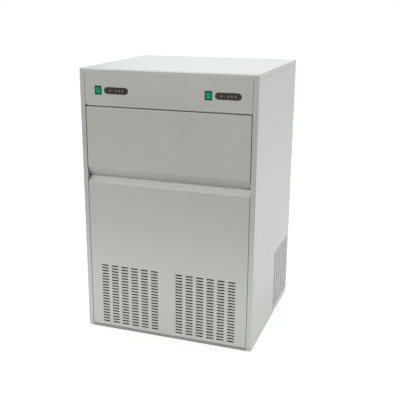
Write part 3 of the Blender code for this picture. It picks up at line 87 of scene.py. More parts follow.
# Shared effects. Each is one node group that puts out masks and heights only.
effectSettings = {
    "grain": {"levelAbove": 0.7, "detail": 3.0, "roughness": 0.6, "spread": (0.3, 0.7)},
    "patches": {"detail": 4.0, "roughness": 0.55, "spread": (0.32, 0.68)},
    "moulded": {"fineDetail": 2.0, "broadRate": 22.0, "spread": (0.35, 0.65)},
}


def newGroup(name, inputs, outputs):
    group = bpy.data.node_groups.new(name, "ShaderNodeTree")
    for label, value in inputs:
        socket = group.interface.new_socket(label, in_out="INPUT", socket_type="NodeSocketFloat")
        socket.default_value = value
    for label in outputs:
        group.interface.new_socket(label, in_out="OUTPUT", socket_type="NodeSocketFloat")
    return group, group.nodes.new("NodeGroupInput"), group.nodes.new("NodeGroupOutput")


def mathNode(tree, operation, first, second=None):
    made = tree.nodes.new("ShaderNodeMath")
    made.operation = operation
    for socket, value in zip(made.inputs, (first, second)):
        if isinstance(value, (int, float)):
            socket.default_value = value
        elif value is not None:
            tree.links.new(value, socket)
    return made.outputs[0]


def rangeNode(tree, value, low, high, newLow, newHigh):
    made = tree.nodes.new("ShaderNodeMapRange")
    tree.links.new(value, made.inputs["Value"])
    limits = {"From Min": low, "From Max": high, "To Min": newLow, "To Max": newHigh}
    for label, number in limits.items():
        made.inputs[label].default_value = number
    return made.outputs["Result"]


def tintNode(tree, share, colour):
    # White where share is 0, the colour where it is 1
    made = tree.nodes.new("ShaderNodeMix")
    made.data_type = "RGBA"
    tree.links.new(share, made.inputs[0])
    made.inputs[6].default_value = (1.0, 1.0, 1.0, 1.0)
    made.inputs[7].default_value = (*colour, 1.0)
    return made.outputs[2]


def grainEffect(settings):
    # Long fine rubbing lines, level on upright faces and left to right on flat ones
    rates = [("Lines per Metre", 1500.0), ("Streaks per Metre", 14.0)]
    group, given, out = newGroup("rubbed grain", rates, ["Tone", "Height"])
    coords = group.nodes.new("ShaderNodeTexCoord")
    place = group.nodes.new("ShaderNodeSeparateXYZ")
    facing = group.nodes.new("ShaderNodeSeparateXYZ")
    group.links.new(coords.outputs["Object"], place.inputs[0])
    group.links.new(coords.outputs["Normal"], facing.inputs[0])
    steepness = mathNode(group, "ABSOLUTE", facing.outputs["Z"])
    level = mathNode(group, "GREATER_THAN", steepness, settings["levelAbove"])
    upright = mathNode(group, "SUBTRACT", 1.0, level)
    fine, coarse = given.outputs["Lines per Metre"], given.outputs["Streaks per Metre"]
    gap = mathNode(group, "SUBTRACT", fine, coarse)
    packed = group.nodes.new("ShaderNodeCombineXYZ")
    group.links.new(mathNode(group, "MULTIPLY", place.outputs["X"], coarse), packed.inputs["X"])
    rateY = mathNode(group, "ADD", coarse, mathNode(group, "MULTIPLY", gap, level))
    rateZ = mathNode(group, "ADD", coarse, mathNode(group, "MULTIPLY", gap, upright))
    group.links.new(mathNode(group, "MULTIPLY", place.outputs["Y"], rateY), packed.inputs["Y"])
    group.links.new(mathNode(group, "MULTIPLY", place.outputs["Z"], rateZ), packed.inputs["Z"])
    noise = group.nodes.new("ShaderNodeTexNoise")
    noise.inputs["Scale"].default_value = 1.0
    noise.inputs["Detail"].default_value = settings["detail"]
    noise.inputs["Roughness"].default_value = settings["roughness"]
    group.links.new(packed.outputs[0], noise.inputs["Vector"])
    tone = rangeNode(group, noise.outputs["Fac"], *settings["spread"], 0.0, 1.0)
    group.links.new(tone, out.inputs["Tone"])
    group.links.new(noise.outputs["Fac"], out.inputs["Height"])
    return group


def cloudEffect(settings):
    # Wide soft patches, as sheet shows where it was wiped and handled
    group, given, out = newGroup("soft patches", [("Patches per Metre", 4.0)], ["Mask"])
    coords = group.nodes.new("ShaderNodeTexCoord")
    noise = group.nodes.new("ShaderNodeTexNoise")
    noise.inputs["Detail"].default_value = settings["detail"]
    noise.inputs["Roughness"].default_value = settings["roughness"]
    group.links.new(coords.outputs["Object"], noise.inputs["Vector"])
    group.links.new(given.outputs["Patches per Metre"], noise.inputs["Scale"])
    mask = rangeNode(group, noise.outputs["Fac"], *settings["spread"], 0.0, 1.0)
    group.links.new(mask, out.inputs["Mask"])
    return group


def spangleEffect():
    # Zinc crystals, each a small patch with its own tone
    group, given, out = newGroup("zinc spangle", [("Crystals per Metre", 90.0)], ["Tone", "Height"])
    coords = group.nodes.new("ShaderNodeTexCoord")
    cells = group.nodes.new("ShaderNodeTexVoronoi")
    cells.inputs["Randomness"].default_value = 1.0
    tone = group.nodes.new("ShaderNodeSeparateColor")
    group.links.new(coords.outputs["Object"], cells.inputs["Vector"])
    group.links.new(given.outputs["Crystals per Metre"], cells.inputs["Scale"])
    group.links.new(cells.outputs["Color"], tone.inputs[0])
    group.links.new(tone.outputs[0], out.inputs["Tone"])
    group.links.new(cells.outputs["Distance"], out.inputs["Height"])
    return group


def mouldedEffect(settings):
    # The faint skin of moulded plastic, cast metal and rubber
    group, given, out = newGroup("moulded skin", [("Grains per Metre", 900.0)], ["Tone", "Height"])
    coords = group.nodes.new("ShaderNodeTexCoord")
    fine = group.nodes.new("ShaderNodeTexNoise")
    fine.inputs["Detail"].default_value = settings["fineDetail"]
    broad = group.nodes.new("ShaderNodeTexNoise")
    broad.inputs["Scale"].default_value = settings["broadRate"]
    for noise in (fine, broad):
        group.links.new(coords.outputs["Object"], noise.inputs["Vector"])
    group.links.new(given.outputs["Grains per Metre"], fine.inputs["Scale"])
    total = mathNode(group, "ADD", fine.outputs["Fac"], broad.outputs["Fac"])
    mean = mathNode(group, "MULTIPLY", total, 0.5)
    group.links.new(rangeNode(group, mean, *settings["spread"], 0.0, 1.0), out.inputs["Tone"])
    group.links.new(fine.outputs["Fac"], out.inputs["Height"])
    return group


effects = {
    "grain": grainEffect(effectSettings["grain"]),
    "patches": cloudEffect(effectSettings["patches"]),
    "spangle": spangleEffect(),
    "moulded": mouldedEffect(effectSettings["moulded"]),
}


# What a finish takes where its own settings say nothing.
finishDefaults = {"patches": 5.0, "fineShare": 0.5, "bump": 0.3, "depth": 0.00005, "shader": {}}


def finish(name, given):
    # Two tones and two roughnesses, mixed by a shared effect, with its height as a bump
    settings = {**finishDefaults, **given}
    material = bpy.data.materials.new(name)
    material.use_nodes = True
    tree = material.node_tree
    shader = tree.nodes["Principled BSDF"]
    effect = tree.nodes.new("ShaderNodeGroup")
    effect.node_tree = effects[settings["effect"]]
    effect.inputs[0].default_value = settings["rate"]
    patches = tree.nodes.new("ShaderNodeGroup")
    patches.node_tree = effects["patches"]
    patches.inputs[0].default_value = settings["patches"]
    share = settings["fineShare"]
    blend = mathNode(
        tree, "ADD",
        mathNode(tree, "MULTIPLY", effect.outputs["Tone"], share),
        mathNode(tree, "MULTIPLY", patches.outputs["Mask"], 1.0 - share),
    )
    tones = tree.nodes.new("ShaderNodeMix")
    tones.data_type = "RGBA"
    tree.links.new(blend, tones.inputs[0])
    for socket, colour in zip((tones.inputs[6], tones.inputs[7]), settings["tones"]):
        socket.default_value = (*colour, 1.0)
    colour = tones.outputs[2]
    # Painted shade: where the settings give a shade, the colour is scaled down to that level in
    # front of shadeBefore, within shadeHalf of the middle.
    if "shade" in settings:
        coords = tree.nodes.new("ShaderNodeTexCoord")
        place = tree.nodes.new("ShaderNodeSeparateXYZ")
        tree.links.new(coords.outputs["Object"], place.inputs[0])
        edge = settings["shadeBefore"]
        blendEnd = edge + settings["shadeBlend"]
        dim = rangeNode(tree, place.outputs["Y"], edge, blendEnd, settings["shade"], 1.0)
        beside = mathNode(tree, "ABSOLUTE", place.outputs["X"])
        outside = mathNode(tree, "GREATER_THAN", beside, settings["shadeHalf"])
        dim = mathNode(tree, "MAXIMUM", dim, outside)
        shaded = tree.nodes.new("ShaderNodeVectorMath")
        shaded.operation = "SCALE"
        tree.links.new(colour, shaded.inputs[0])
        tree.links.new(dim, shaded.inputs["Scale"])
        colour = shaded.outputs[0]
    tree.links.new(colour, shader.inputs["Base Color"])
    roughness = rangeNode(tree, blend, 0.0, 1.0, *settings["roughness"])
    tree.links.new(roughness, shader.inputs["Roughness"])
    bump = tree.nodes.new("ShaderNodeBump")
    bump.inputs["Strength"].default_value = settings["bump"]
    bump.inputs["Distance"].default_value = settings["depth"]
    tree.links.new(effect.outputs["Height"], bump.inputs["Height"])
    tree.links.new(bump.outputs[0], shader.inputs["Normal"])
    shader.inputs["Metallic"].default_value = settings["metallic"]
    for label, value in settings["shader"].items():
        shader.inputs[label].default_value = value
    return material


steelSettings = {
    "effect": "grain", "rate": 1500.0, "patches": 3.0, "fineShare": 0.45, "metallic": 0.85,
    "tones": ((0.588, 0.592, 0.556), (0.638, 0.642, 0.606)), "roughness": (0.36, 0.46),
    "bump": 0.12, "depth": 0.00002,
}
steel = finish("satin cabinet steel", steelSettings)
# Painted shade: the plinth's colour is darkened where it lies in the front panel's shade, as far as
# the stiles.
plinthPaintedShade = {"shadeBefore": -0.284, "shadeBlend": 0.001, "shadeHalf": 0.311, "shade": 0.55}
paintedShadeSteel = finish("satin steel in the plinth", {**steelSettings, **plinthPaintedShade})
zinc = finish("galvanised sheet", {
    "effect": "spangle", "rate": 70.0, "patches": 6.0, "fineShare": 0.6, "metallic": 0.85,
    "tones": ((0.36, 0.37, 0.375), (0.52, 0.53, 0.535)), "roughness": (0.34, 0.55), "bump": 0.1,
})
whitePlastic = finish("white liner plastic", {
    "effect": "moulded", "rate": 700.0, "metallic": 0.0,
    "tones": ((0.72, 0.73, 0.72), (0.79, 0.80, 0.79)), "roughness": (0.32, 0.42), "bump": 0.15,
})
blackPlastic = finish("black moulded plastic", {
    "effect": "moulded", "rate": 1400.0, "metallic": 0.0,
    "tones": ((0.018, 0.018, 0.019), (0.03, 0.03, 0.032)), "roughness": (0.38, 0.5), "bump": 0.25,
})
switchFrame = finish("dark green switch frame", {
    "effect": "moulded", "rate": 1400.0, "metallic": 0.0,
    "tones": ((0.002, 0.075, 0.043), (0.004, 0.10, 0.06)), "roughness": (0.4, 0.5), "bump": 0.2,
    "shader": {"Specular IOR Level": 0.25},
})
greenLens = finish("green rocker", {
    "effect": "moulded", "rate": 300.0, "metallic": 0.0,
    "tones": ((0.001, 0.30, 0.145), (0.002, 0.40, 0.195)), "roughness": (0.28, 0.36), "bump": 0.08,
    "shader": {"Specular IOR Level": 0.2, "Coat Weight": 0.1, "Coat Roughness": 0.12},
})
darkLens = finish("smoked display window", {
    "effect": "moulded", "rate": 200.0, "metallic": 0.0,
    "tones": ((0.034, 0.032, 0.028), (0.044, 0.042, 0.036)), "roughness": (0.22, 0.3), "bump": 0.03,
})
boardGreen = finish("circuit board", {
    "effect": "moulded", "rate": 500.0, "metallic": 0.0,
    "tones": ((0.012, 0.10, 0.035), (0.02, 0.17, 0.06)), "roughness": (0.35, 0.5),
})
copper = finish("copper tube", {
    "effect": "moulded", "rate": 400.0, "metallic": 1.0,
    "tones": ((0.60, 0.28, 0.16), (0.74, 0.38, 0.22)), "roughness": (0.26, 0.42), "bump": 0.1,
})
nickel = finish("nickel plate", {
    "effect": "moulded", "rate": 600.0, "metallic": 1.0,
    "tones": ((0.56, 0.54, 0.49), (0.66, 0.64, 0.59)), "roughness": (0.18, 0.3), "bump": 0.06,
})
aluminium = finish("aluminium fins", {
    "effect": "moulded", "rate": 500.0, "metallic": 0.95,
    "tones": ((0.55, 0.56, 0.57), (0.68, 0.69, 0.70)), "roughness": (0.34, 0.5), "bump": 0.1,
})
blackEnamel = finish("black enamel", {
    "effect": "moulded", "rate": 260.0, "metallic": 0.0,
    "tones": ((0.012, 0.012, 0.012), (0.022, 0.022, 0.022)), "roughness": (0.22, 0.36), "bump": 0.2,
    "shader": {"Coat Weight": 0.3},
})
sealGrey = finish("pale grey door seal", {
    "effect": "moulded", "rate": 1200.0, "metallic": 0.0,
    "tones": ((0.42, 0.43, 0.42), (0.50, 0.51, 0.50)), "roughness": (0.55, 0.7), "bump": 0.2,
})
markWhite = finish("white printed mark", {
    "effect": "moulded", "rate": 900.0, "metallic": 0.0,
    "tones": ((0.62, 0.64, 0.62), (0.70, 0.72, 0.70)), "roughness": (0.4, 0.5), "bump": 0.05,
})
redLamp = finish("reddish lamp", {
    "effect": "moulded", "rate": 900.0, "metallic": 0.0,
    "tones": ((0.50, 0.36, 0.33), (0.58, 0.44, 0.41)), "roughness": (0.2, 0.3), "bump": 0.05,
    "shader": {"Emission Color": (1.0, 0.55, 0.48, 1.0), "Emission Strength": 0.08},
})
amberLamp = finish("amber lamp", {
    "effect": "moulded", "rate": 900.0, "metallic": 0.0,
    "tones": ((0.40, 0.38, 0.25), (0.48, 0.46, 0.31)), "roughness": (0.2, 0.3), "bump": 0.05,
    "shader": {"Emission Color": (1.0, 0.85, 0.5, 1.0), "Emission Strength": 0.05},
})
print("finishes made:", len(bpy.data.materials))


# Which finish each node of the model takes, by the start of its name.
nodeFinishes = {
    "base_pan": paintedShadeSteel, "left_side_panel": steel, "right_side_panel": steel,
    "rear_panel": steel, "top_cover": steel, "control_fascia": steel,
    "lower_front_panel": steel, "door_skin": steel, "door_hinge_pin": steel,
    "middle_deck": zinc, "evaporator_deck": zinc, "relay_box": zinc, "tray_motor": zinc,
    "bin_tub": whitePlastic, "bin_drain_tube": whitePlastic, "door_liner": whitePlastic,
    "water_tray": whitePlastic, "fill_tube": whitePlastic, "water_inlet_valve": whitePlastic,
    "door_gasket": sealGrey, "evaporator": nickel, "switch_housing": switchFrame,
    "rocker": greenLens, "display_lens": darkLens, "control_board": boardGreen,
    "condenser": aluminium, "condenser_tube": copper, "filter_drier": copper,
    "liquid_tube": copper, "suction_tube": copper, "discharge_tube": copper,
    "compressor": blackEnamel, "terminal_cover": blackPlastic, "cable_gland": blackPlastic,
    "fan": blackPlastic, "fan_bracket": zinc, "fan_motor": blackEnamel, "fan_shroud": blackEnamel,
}


def finishOf(name):
    starts = [start for start in nodeFinishes if name.startswith(start)]
    return nodeFinishes[max(starts, key=len)]


for name, node in nodes.items():
    material = finishOf(name)
    if not node.data.materials:
        node.data.materials.append(material)
    for slot in node.material_slots:
        slot.material = material
print("finishes assigned")


# Pieces. Each is a closed mesh that rides with the node it belongs to.
meshSettings = {
    "mergeDistance": 0.00001,
    "flatAngle": 0.5,
    "planeSlack": 0.00005,
    "foldAngle": 20.0,
}
record = frame["record"]
bodyOf = {node: body for body, group in record["behaviour"]["bodies"].items() for node in group}
jointPlace = {joint["name"]: Vector(joint["pos_m"]) for joint in record["behaviour"]["joints"]}


def boxShape(x, y, z):
    shape = bmesh.new()
    bmesh.ops.create_cube(shape, size=1.0)
    middle = Vector([(low + high) / 2 for low, high in (x, y, z)])
    size = Matrix.Diagonal([high - low for low, high in (x, y, z)] + [1.0])
    shape.transform(Matrix.Translation(middle) @ size)
    return shape


def turnedShape(profile, steps, place):
    # Points of (radius, height) spun about Z, then placed by a matrix
    shape = bmesh.new()
    points = [shape.verts.new((radius, 0.0, height)) for radius, height in profile]
    lines = [shape.edges.new(pair) for pair in zip(points, points[1:])]
    bmesh.ops.spin(
        shape, geom=points + lines, cent=(0, 0, 0), axis=(0, 0, 1),
        angle=math.tau, steps=steps, use_merge=True,
    )
    bmesh.ops.remove_doubles(shape, verts=shape.verts, dist=touch)
    shape.transform(place)
    return shape


def stripShape(section, left, right):
    # A closed section of (y, z) points drawn out along X
    shape = bmesh.new()
    end = shape.faces.new([shape.verts.new((left, y, z)) for y, z in section])
    drawn = bmesh.ops.extrude_face_region(shape, geom=[end])
    farEnd = [made for made in drawn["geom"] if isinstance(made, bmesh.types.BMVert)]
    bmesh.ops.translate(shape, verts=farEnd, vec=(right - left, 0, 0))
    return shape


def together(shapes):
    whole = bmesh.new()
    for shape in shapes:
        mesh = bpy.data.meshes.new("shape")
        shape.to_mesh(mesh)
        shape.free()
        whole.from_mesh(mesh)
        bpy.data.meshes.remove(mesh)
    return whole


def roundEdges(shape, settings, chosen):
    bmesh.ops.bevel(
        shape, geom=chosen, offset=settings["radius"], offset_type="OFFSET",
        segments=settings["segments"], profile=0.5, affect="EDGES", material=-1, clamp_overlap=True,
    )


def frontEdges(shape, front):
    # The edges that lie on the shape's front plane
    return [edge for edge in shape.edges if all(v.co.y < front + touch for v in edge.verts)]


def addPiece(name, shape, material, host, replaced=(), smooth=None):
    bmesh.ops.recalc_face_normals(shape, faces=shape.faces)
    mesh = bpy.data.meshes.new(name)
    shape.to_mesh(mesh)
    shape.free()
    mesh.materials.append(material)
    if smooth is not None:
        mesh.shade_smooth()
        mesh.set_sharp_from_angle(angle=math.radians(smooth))
    piece = bpy.data.objects.new(name, mesh)
    bpy.context.scene.collection.objects.link(piece)
    if replaced:
        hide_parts(*replaced)
    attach(piece, bodyOf[host])
    return piece


def copyShape(node):
    # A node's own mesh with its loose triangles merged
    shape = bmesh.new()
    shape.from_mesh(nodes[node].data)
    bmesh.ops.remove_doubles(shape, verts=shape.verts, dist=meshSettings["mergeDistance"])
    bmesh.ops.recalc_face_normals(shape, faces=shape.faces)
    flat = math.radians(meshSettings["flatAngle"])
    bmesh.ops.dissolve_limit(shape, angle_limit=flat, verts=shape.verts, edges=shape.edges)
    return shape


def onOuterPlane(edge, low, high):
    # True where the whole edge lies on one side of the node's own box
    for axis in range(3):
        for limit in (low[axis], high[axis]):
            slack = meshSettings["planeSlack"]
            if all(abs(vertex.co[axis] - limit) < slack for vertex in edge.verts):
                return True
    return False


# Folded sheets: the long bends and rims get a small round in place of a hard edge.
sheetSettings = {
    "left_side_panel": {"radius": 0.0005, "segments": 3, "shortest": 0.05},
    "right_side_panel": {"radius": 0.0005, "segments": 3, "shortest": 0.05},
    "rear_panel": {"radius": 0.0004, "segments": 2, "shortest": 0.14},
    "top_cover": {"radius": 0.0006, "segments": 3, "shortest": 0.05},
    "control_fascia": {"radius": 0.0008, "segments": 3, "shortest": 0.05},
    "lower_front_panel": {"radius": 0.0008, "segments": 3, "shortest": 0.05},
    "door_skin": {"radius": 0.0008, "segments": 3, "shortest": 0.05},
    "door_liner": {"radius": 0.0008, "segments": 2, "shortest": 0.05},
    "bin_tub": {"radius": 0.004, "segments": 4, "shortest": 0.05},
    "water_tray_left": {"radius": 0.0006, "segments": 2, "shortest": 0.03},
    "water_tray_right": {"radius": 0.0006, "segments": 2, "shortest": 0.03},
    "switch_housing_left": {"radius": 0.0004, "segments": 3, "shortest": 0.01},
    "switch_housing_right": {"radius": 0.0004, "segments": 3, "shortest": 0.01},
    "rocker_left": {"radius": 0.0006, "segments": 4, "shortest": 0.004},
    "rocker_right": {"radius": 0.0006, "segments": 4, "shortest": 0.004},
}


def softenNode(node, settings):
    shape = copyShape(node)
    low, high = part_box(node)
    fold = math.radians(meshSettings["foldAngle"])
    chosen = []
    for edge in shape.edges:
        convex = len(edge.link_faces) == 2 and edge.calc_face_angle_signed(0.0) > fold
        if convex and edge.calc_length() > settings["shortest"] and onOuterPlane(edge, low, high):
            chosen.append(edge)
    roundEdges(shape, settings, chosen)
    return addPiece(f"{node}_softened", shape, finishOf(node), node, [node])


softened = {}
for sheetNode, sheetValues in sheetSettings.items():
    softened[sheetNode] = softenNode(sheetNode, sheetValues)
print("sheets softened:", len(softened))


# Round metal and plastic: tubes, cans and rings are shaded as the curves that they are.
roundAngle = 62
smoothStarts = (
    "condenser_tube", "discharge_tube", "liquid_tube", "suction_tube", "fill_tube",
    "filter_drier", "fan_motor", "fan_shroud", "bin_drain_tube", "cable_gland",
    "water_inlet_valve", "door_hinge_pin",
)


def smoothNode(node):
    addPiece(f"{node}_smooth", copyShape(node), finishOf(node), node, [node], smooth=roundAngle)


for nodeName in sorted(nodes):
    if nodeName.startswith(smoothStarts):
        smoothNode(nodeName)
print("round nodes smoothed")


# Display windows with their lamps. The first lamp is reddish, the other three amber.
displaySettings = {
    "steps": 20,
    "radius": 0.00025,
    "segments": 2,
    "lamps": (0.0230, 0.0465, 0.0590, 0.0710),
    "lampRadius": 0.0018,
    "lampTall": 1.5,
    "lampRise": 0.0003,
    "lampSteps": (20, 12),
    "smooth": 60,
}


def displayWindow(end, settings):
    node = f"display_lens_{end}"
    low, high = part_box(node)
    middle = (low + high) / 2
    reach = (high.z - low.z) / 2
    shape = bmesh.new()
    outline = []
    for side in (1, -1):
        centre = high.x - reach if side > 0 else low.x + reach
        for step in range(settings["steps"] + 1):
            turn = math.pi * step / settings["steps"] - math.pi / 2
            across = centre + side * reach * math.cos(turn)
            up = middle.z + side * reach * math.sin(turn)
            outline.append(shape.verts.new((across, low.y, up)))
    face = shape.faces.new(outline)
    pushed = bmesh.ops.extrude_face_region(shape, geom=[face])["geom"]
    moved = [part for part in pushed if isinstance(part, bmesh.types.BMVert)]
    bmesh.ops.translate(shape, verts=moved, vec=(0, high.y - low.y, 0))
    bmesh.ops.recalc_face_normals(shape, faces=shape.faces)
    roundEdges(shape, settings, frontEdges(shape, low.y))
    addPiece(f"display_window_{end}", shape, darkLens, node, [node])
    around, over = settings["lampSteps"]
    radius = settings["lampRadius"]
    flat = Matrix.Diagonal((1.0, settings["lampRise"] / radius, settings["lampTall"], 1.0))
    for number, across in enumerate(settings["lamps"]):
        lamp = bmesh.new()
        bmesh.ops.create_uvsphere(lamp, u_segments=around, v_segments=over, radius=radius)
        lamp.transform(Matrix.Translation((low.x + across, low.y, middle.z)) @ flat)
        paint = redLamp if number == 0 else amberLamp
        addPiece(f"display_lamp_{end}_{number + 1}", lamp, paint, node, smooth=settings["smooth"])


for sideName in ends:
    displayWindow(sideName, displaySettings)
print("displays done")


# Marks on the rockers: a bar near the top and a ring near the foot, pressed into the face.
rockerSettings = {
    "bar": (0.0006, 0.0034),
    "ring": (0.0011, 0.0016),
    "offset": 0.0075,
    "rise": 0.00003,
    "sunk": 0.0002,
    "steps": 32,
    "lookFrom": 0.05,
}


def rockerMarks(end, settings):
    node = f"rocker_{end}"
    bpy.context.view_layer.update()
    low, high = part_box(node)
    middle = (low + high) / 2
    for part, side in (("bar", 1), ("ring", -1)):
        spotHeight = middle.z + side * settings["offset"]
        start = Vector((middle.x, low.y - settings["lookFrom"], spotHeight))
        found, spot, facing, _ = softened[node].ray_cast(start, Vector((0, 1, 0)))
        if not found:
            print("no place for the mark", part, end)
            continue
        turn = facing.to_track_quat("Z", "Y").to_matrix().to_4x4()
        place = Matrix.Translation(spot) @ turn
        foot, top = -settings["sunk"], settings["rise"]
        if part == "bar":
            width, height = settings["bar"]
            shape = boxShape((-width / 2, width / 2), (-height / 2, height / 2), (foot, top))
            shape.transform(place)
        else:
            inner, outer = settings["ring"]
            profile = [(inner, foot), (outer, foot), (outer, top), (inner, top), (inner, foot)]
            shape = turnedShape(profile, settings["steps"], place)
        addPiece(f"rocker_{part}_{end}", shape, markWhite, node)


for sideName in ends:
    rockerMarks(sideName, rockerSettings)
print("rocker marks done")


# Condensers: thin fins on two rows of tubes between end plates.
condenserSettings = {
    "plate": 0.0015,
    "leg": 0.018,
    "fins": 88,
    "finThickness": 0.0003,
    "finInset": 0.001,
    "tubeRadius": 0.0036,
    "tubeRows": 7,
    "tubeColumns": 2,
    "steps": 16,
    "smooth": 40,
}


def condenserPack(end, settings):
    node = f"condenser_{end}"
    low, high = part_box(node)
    floor, plate = low.z + settings["leg"], settings["plate"]
    shapes = []
    for start in (low.x, high.x - plate):
        shapes.append(boxShape((start, start + plate), (low.y, high.y), (low.z, high.z)))
    inner = (low.x + plate, high.x - plate)
    pitch = (inner[1] - inner[0]) / (settings["fins"] + 1)
    half = settings["finThickness"] / 2
    finDeep = (low.y + settings["finInset"], high.y - settings["finInset"])
    for number in range(settings["fins"]):
        middle = inner[0] + pitch * (number + 1)
        shapes.append(boxShape((middle - half, middle + half), finDeep, (floor, high.z)))
    addPiece(f"condenser_fins_{end}", together(shapes), aluminium, node, [node])
    radius = settings["tubeRadius"]
    length = inner[1] - inner[0]
    profile = [(0, 0), (radius, 0), (radius, length), (0, length)]
    level = Matrix.Rotation(math.pi / 2, 4, "Y")
    tubes = []
    for row in range(settings["tubeRows"]):
        height = floor + (high.z - floor) * (row + 0.5) / settings["tubeRows"]
        for column in range(settings["tubeColumns"]):
            deep = low.y + (high.y - low.y) * (column + 0.5) / settings["tubeColumns"]
            place = Matrix.Translation((inner[0], deep, height)) @ level
            tubes.append(turnedShape(profile, settings["steps"], place))
    addPiece(f"condenser_rows_{end}", together(tubes), copper, node, smooth=settings["smooth"])


for sideName in ends:
    condenserPack(sideName, condenserSettings)
print("condensers done")


# Evaporators: a round-edged header with smooth fingers, each with a domed tip.
evaporatorSettings = {
    "header": 0.014,
    "columns": 5,
    "rows": 2,
    "edge": 0.018,
    "rowPitch": 0.032,
    "finger": 0.0068,
    "tip": 0.0035,
    "tipSteps": 8,
    "steps": 28,
    "radius": 0.0015,
    "segments": 4,
    "smooth": 35,
}


def evaporatorBlock(end, settings):
    node = f"evaporator_{end}"
    low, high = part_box(node)
    underside = high.z - settings["header"]
    header = boxShape((low.x, high.x), (low.y, high.y), (underside, high.z))
    roundEdges(header, settings, header.edges[:])
    shapes = [header]
    tip, finger = settings["tip"], settings["finger"]
    profile = [(0.0, 0.0)]
    for step in range(1, settings["tipSteps"] + 1):
        turn = math.radians(90 - 90 * step / settings["tipSteps"])
        profile.append((finger * math.cos(turn), tip - tip * math.sin(turn)))
    # The fingers reach a little way into the header.
    top = underside - low.z + settings["radius"] * 2
    profile += [(finger, top), (0.0, top)]
    pitch = (high.x - low.x - 2 * settings["edge"]) / (settings["columns"] - 1)
    for column in range(settings["columns"]):
        for row in range(settings["rows"]):
            across = low.x + settings["edge"] + column * pitch
            deep = (low.y + high.y) / 2 + (row - (settings["rows"] - 1) / 2) * settings["rowPitch"]
            spot = Matrix.Translation((across, deep, low.z))
            shapes.append(turnedShape(profile, settings["steps"], spot))
    whole = together(shapes)
    addPiece(f"evaporator_smooth_{end}", whole, nickel, node, [node], smooth=settings["smooth"])


for sideName in ends:
    evaporatorBlock(sideName, evaporatorSettings)
print("evaporators done")


# Compressors: a pressed can with a weld seam, on its foot plate with four nuts.
# The can's widths are shares of its radius, and its heights are shares of the whole height.
compressorSettings = {
    "radius": 0.072,
    "bottomWidths": (0.7, 0.3),
    "bottomRise": 0.16,
    "bottomSteps": 6,
    "lift": 0.001,
    "seam": 1.04,
    "seamHeights": (0.42, 0.43, 0.48, 0.50),
    "lidWidths": (0.98, 0.95),
    "domeHeights": (0.78, 0.22),
    "domeSteps": 8,
    "steps": 56,
    "plate": 0.003,
    "plateCorner": {"radius": 0.008, "segments": 6},
    "nut": 0.0062,
    "nutHeight": 0.005,
    "nutSides": 6,
    "nutInset": 0.012,
    "nutSunk": 0.0002,
    "smooth": 35,
}


def compressorCan(end, settings):
    node = f"compressor_{end}"
    low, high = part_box(node)
    middle = (low + high) / 2
    tall = high.z - low.z
    radius, seam = settings["radius"], settings["radius"] * settings["seam"]
    plate, lift = settings["plate"], settings["lift"]
    foot = boxShape((low.x, high.x), (low.y, high.y), (low.z, low.z + plate))
    upright = []
    for edge in foot.edges:
        first, second = edge.verts
        if abs(first.co.z - second.co.z) > plate / 2:
            upright.append(edge)
    roundEdges(foot, settings["plateCorner"], upright)
    flat, curved = settings["bottomWidths"]
    profile = [(0.0, lift), (radius * flat, lift)]
    for step in range(1, settings["bottomSteps"] + 1):
        turn = math.radians(90 * step / settings["bottomSteps"])
        up = tall * settings["bottomRise"] * (1 - math.cos(turn)) + lift
        profile.append((radius * (flat + curved * math.sin(turn)), up))
    below, seamFoot, seamTop, above = [tall * share for share in settings["seamHeights"]]
    lid, shoulder = [radius * share for share in settings["lidWidths"]]
    domeFoot, domeRise = settings["domeHeights"]
    profile += [(radius, below), (seam, seamFoot), (seam, seamTop), (lid, above)]
    profile.append((shoulder, tall * domeFoot))
    for step in range(1, settings["domeSteps"]):
        turn = math.radians(90 * step / settings["domeSteps"])
        profile.append((shoulder * math.cos(turn), tall * (domeFoot + domeRise * math.sin(turn))))
    profile.append((0.0, tall))
    can = turnedShape(profile, settings["steps"], Matrix.Translation((middle.x, middle.y, low.z)))
    whole = together([foot, can])
    addPiece(f"compressor_can_{end}", whole, blackEnamel, node, [node], smooth=settings["smooth"])
    size, top, inset = settings["nut"], settings["nutHeight"], settings["nutInset"]
    profile = [(0, 0), (size, 0), (size, top), (0, top)]
    nuts = []
    for across in (low.x + inset, high.x - inset):
        for deep in (low.y + inset, high.y - inset):
            spot = Matrix.Translation((across, deep, low.z + plate - settings["nutSunk"]))
            nuts.append(turnedShape(profile, settings["nutSides"], spot))
    addPiece(f"compressor_nuts_{end}", together(nuts), zinc, node)


for sideName in ends:
    compressorCan(sideName, compressorSettings)
print("compressors done")


# Fans: a turned hub with five swept, twisted blades.
fanSettings = {
    "hub": 0.027,
    "hubLength": 0.022,
    "hubEdge": 0.16,
    "hubEdgeSteps": 5,
    "shaft": 0.004,
    "steps": 40,
    "blades": 5,
    "bladeRoot": 0.85,
    "bladeDepth": 0.44,
    "tipGap": 0.001,
    "thickness": 0.0016,
    "pitch": (40.0, 24.0),
    "chord": (0.034, 0.052),
    "chordSwell": 2.4,
    "sweep": 0.25,
    "camber": 0.003,
    "alongSteps": 12,
    "acrossSteps": 8,
    "smooth": 40,
}


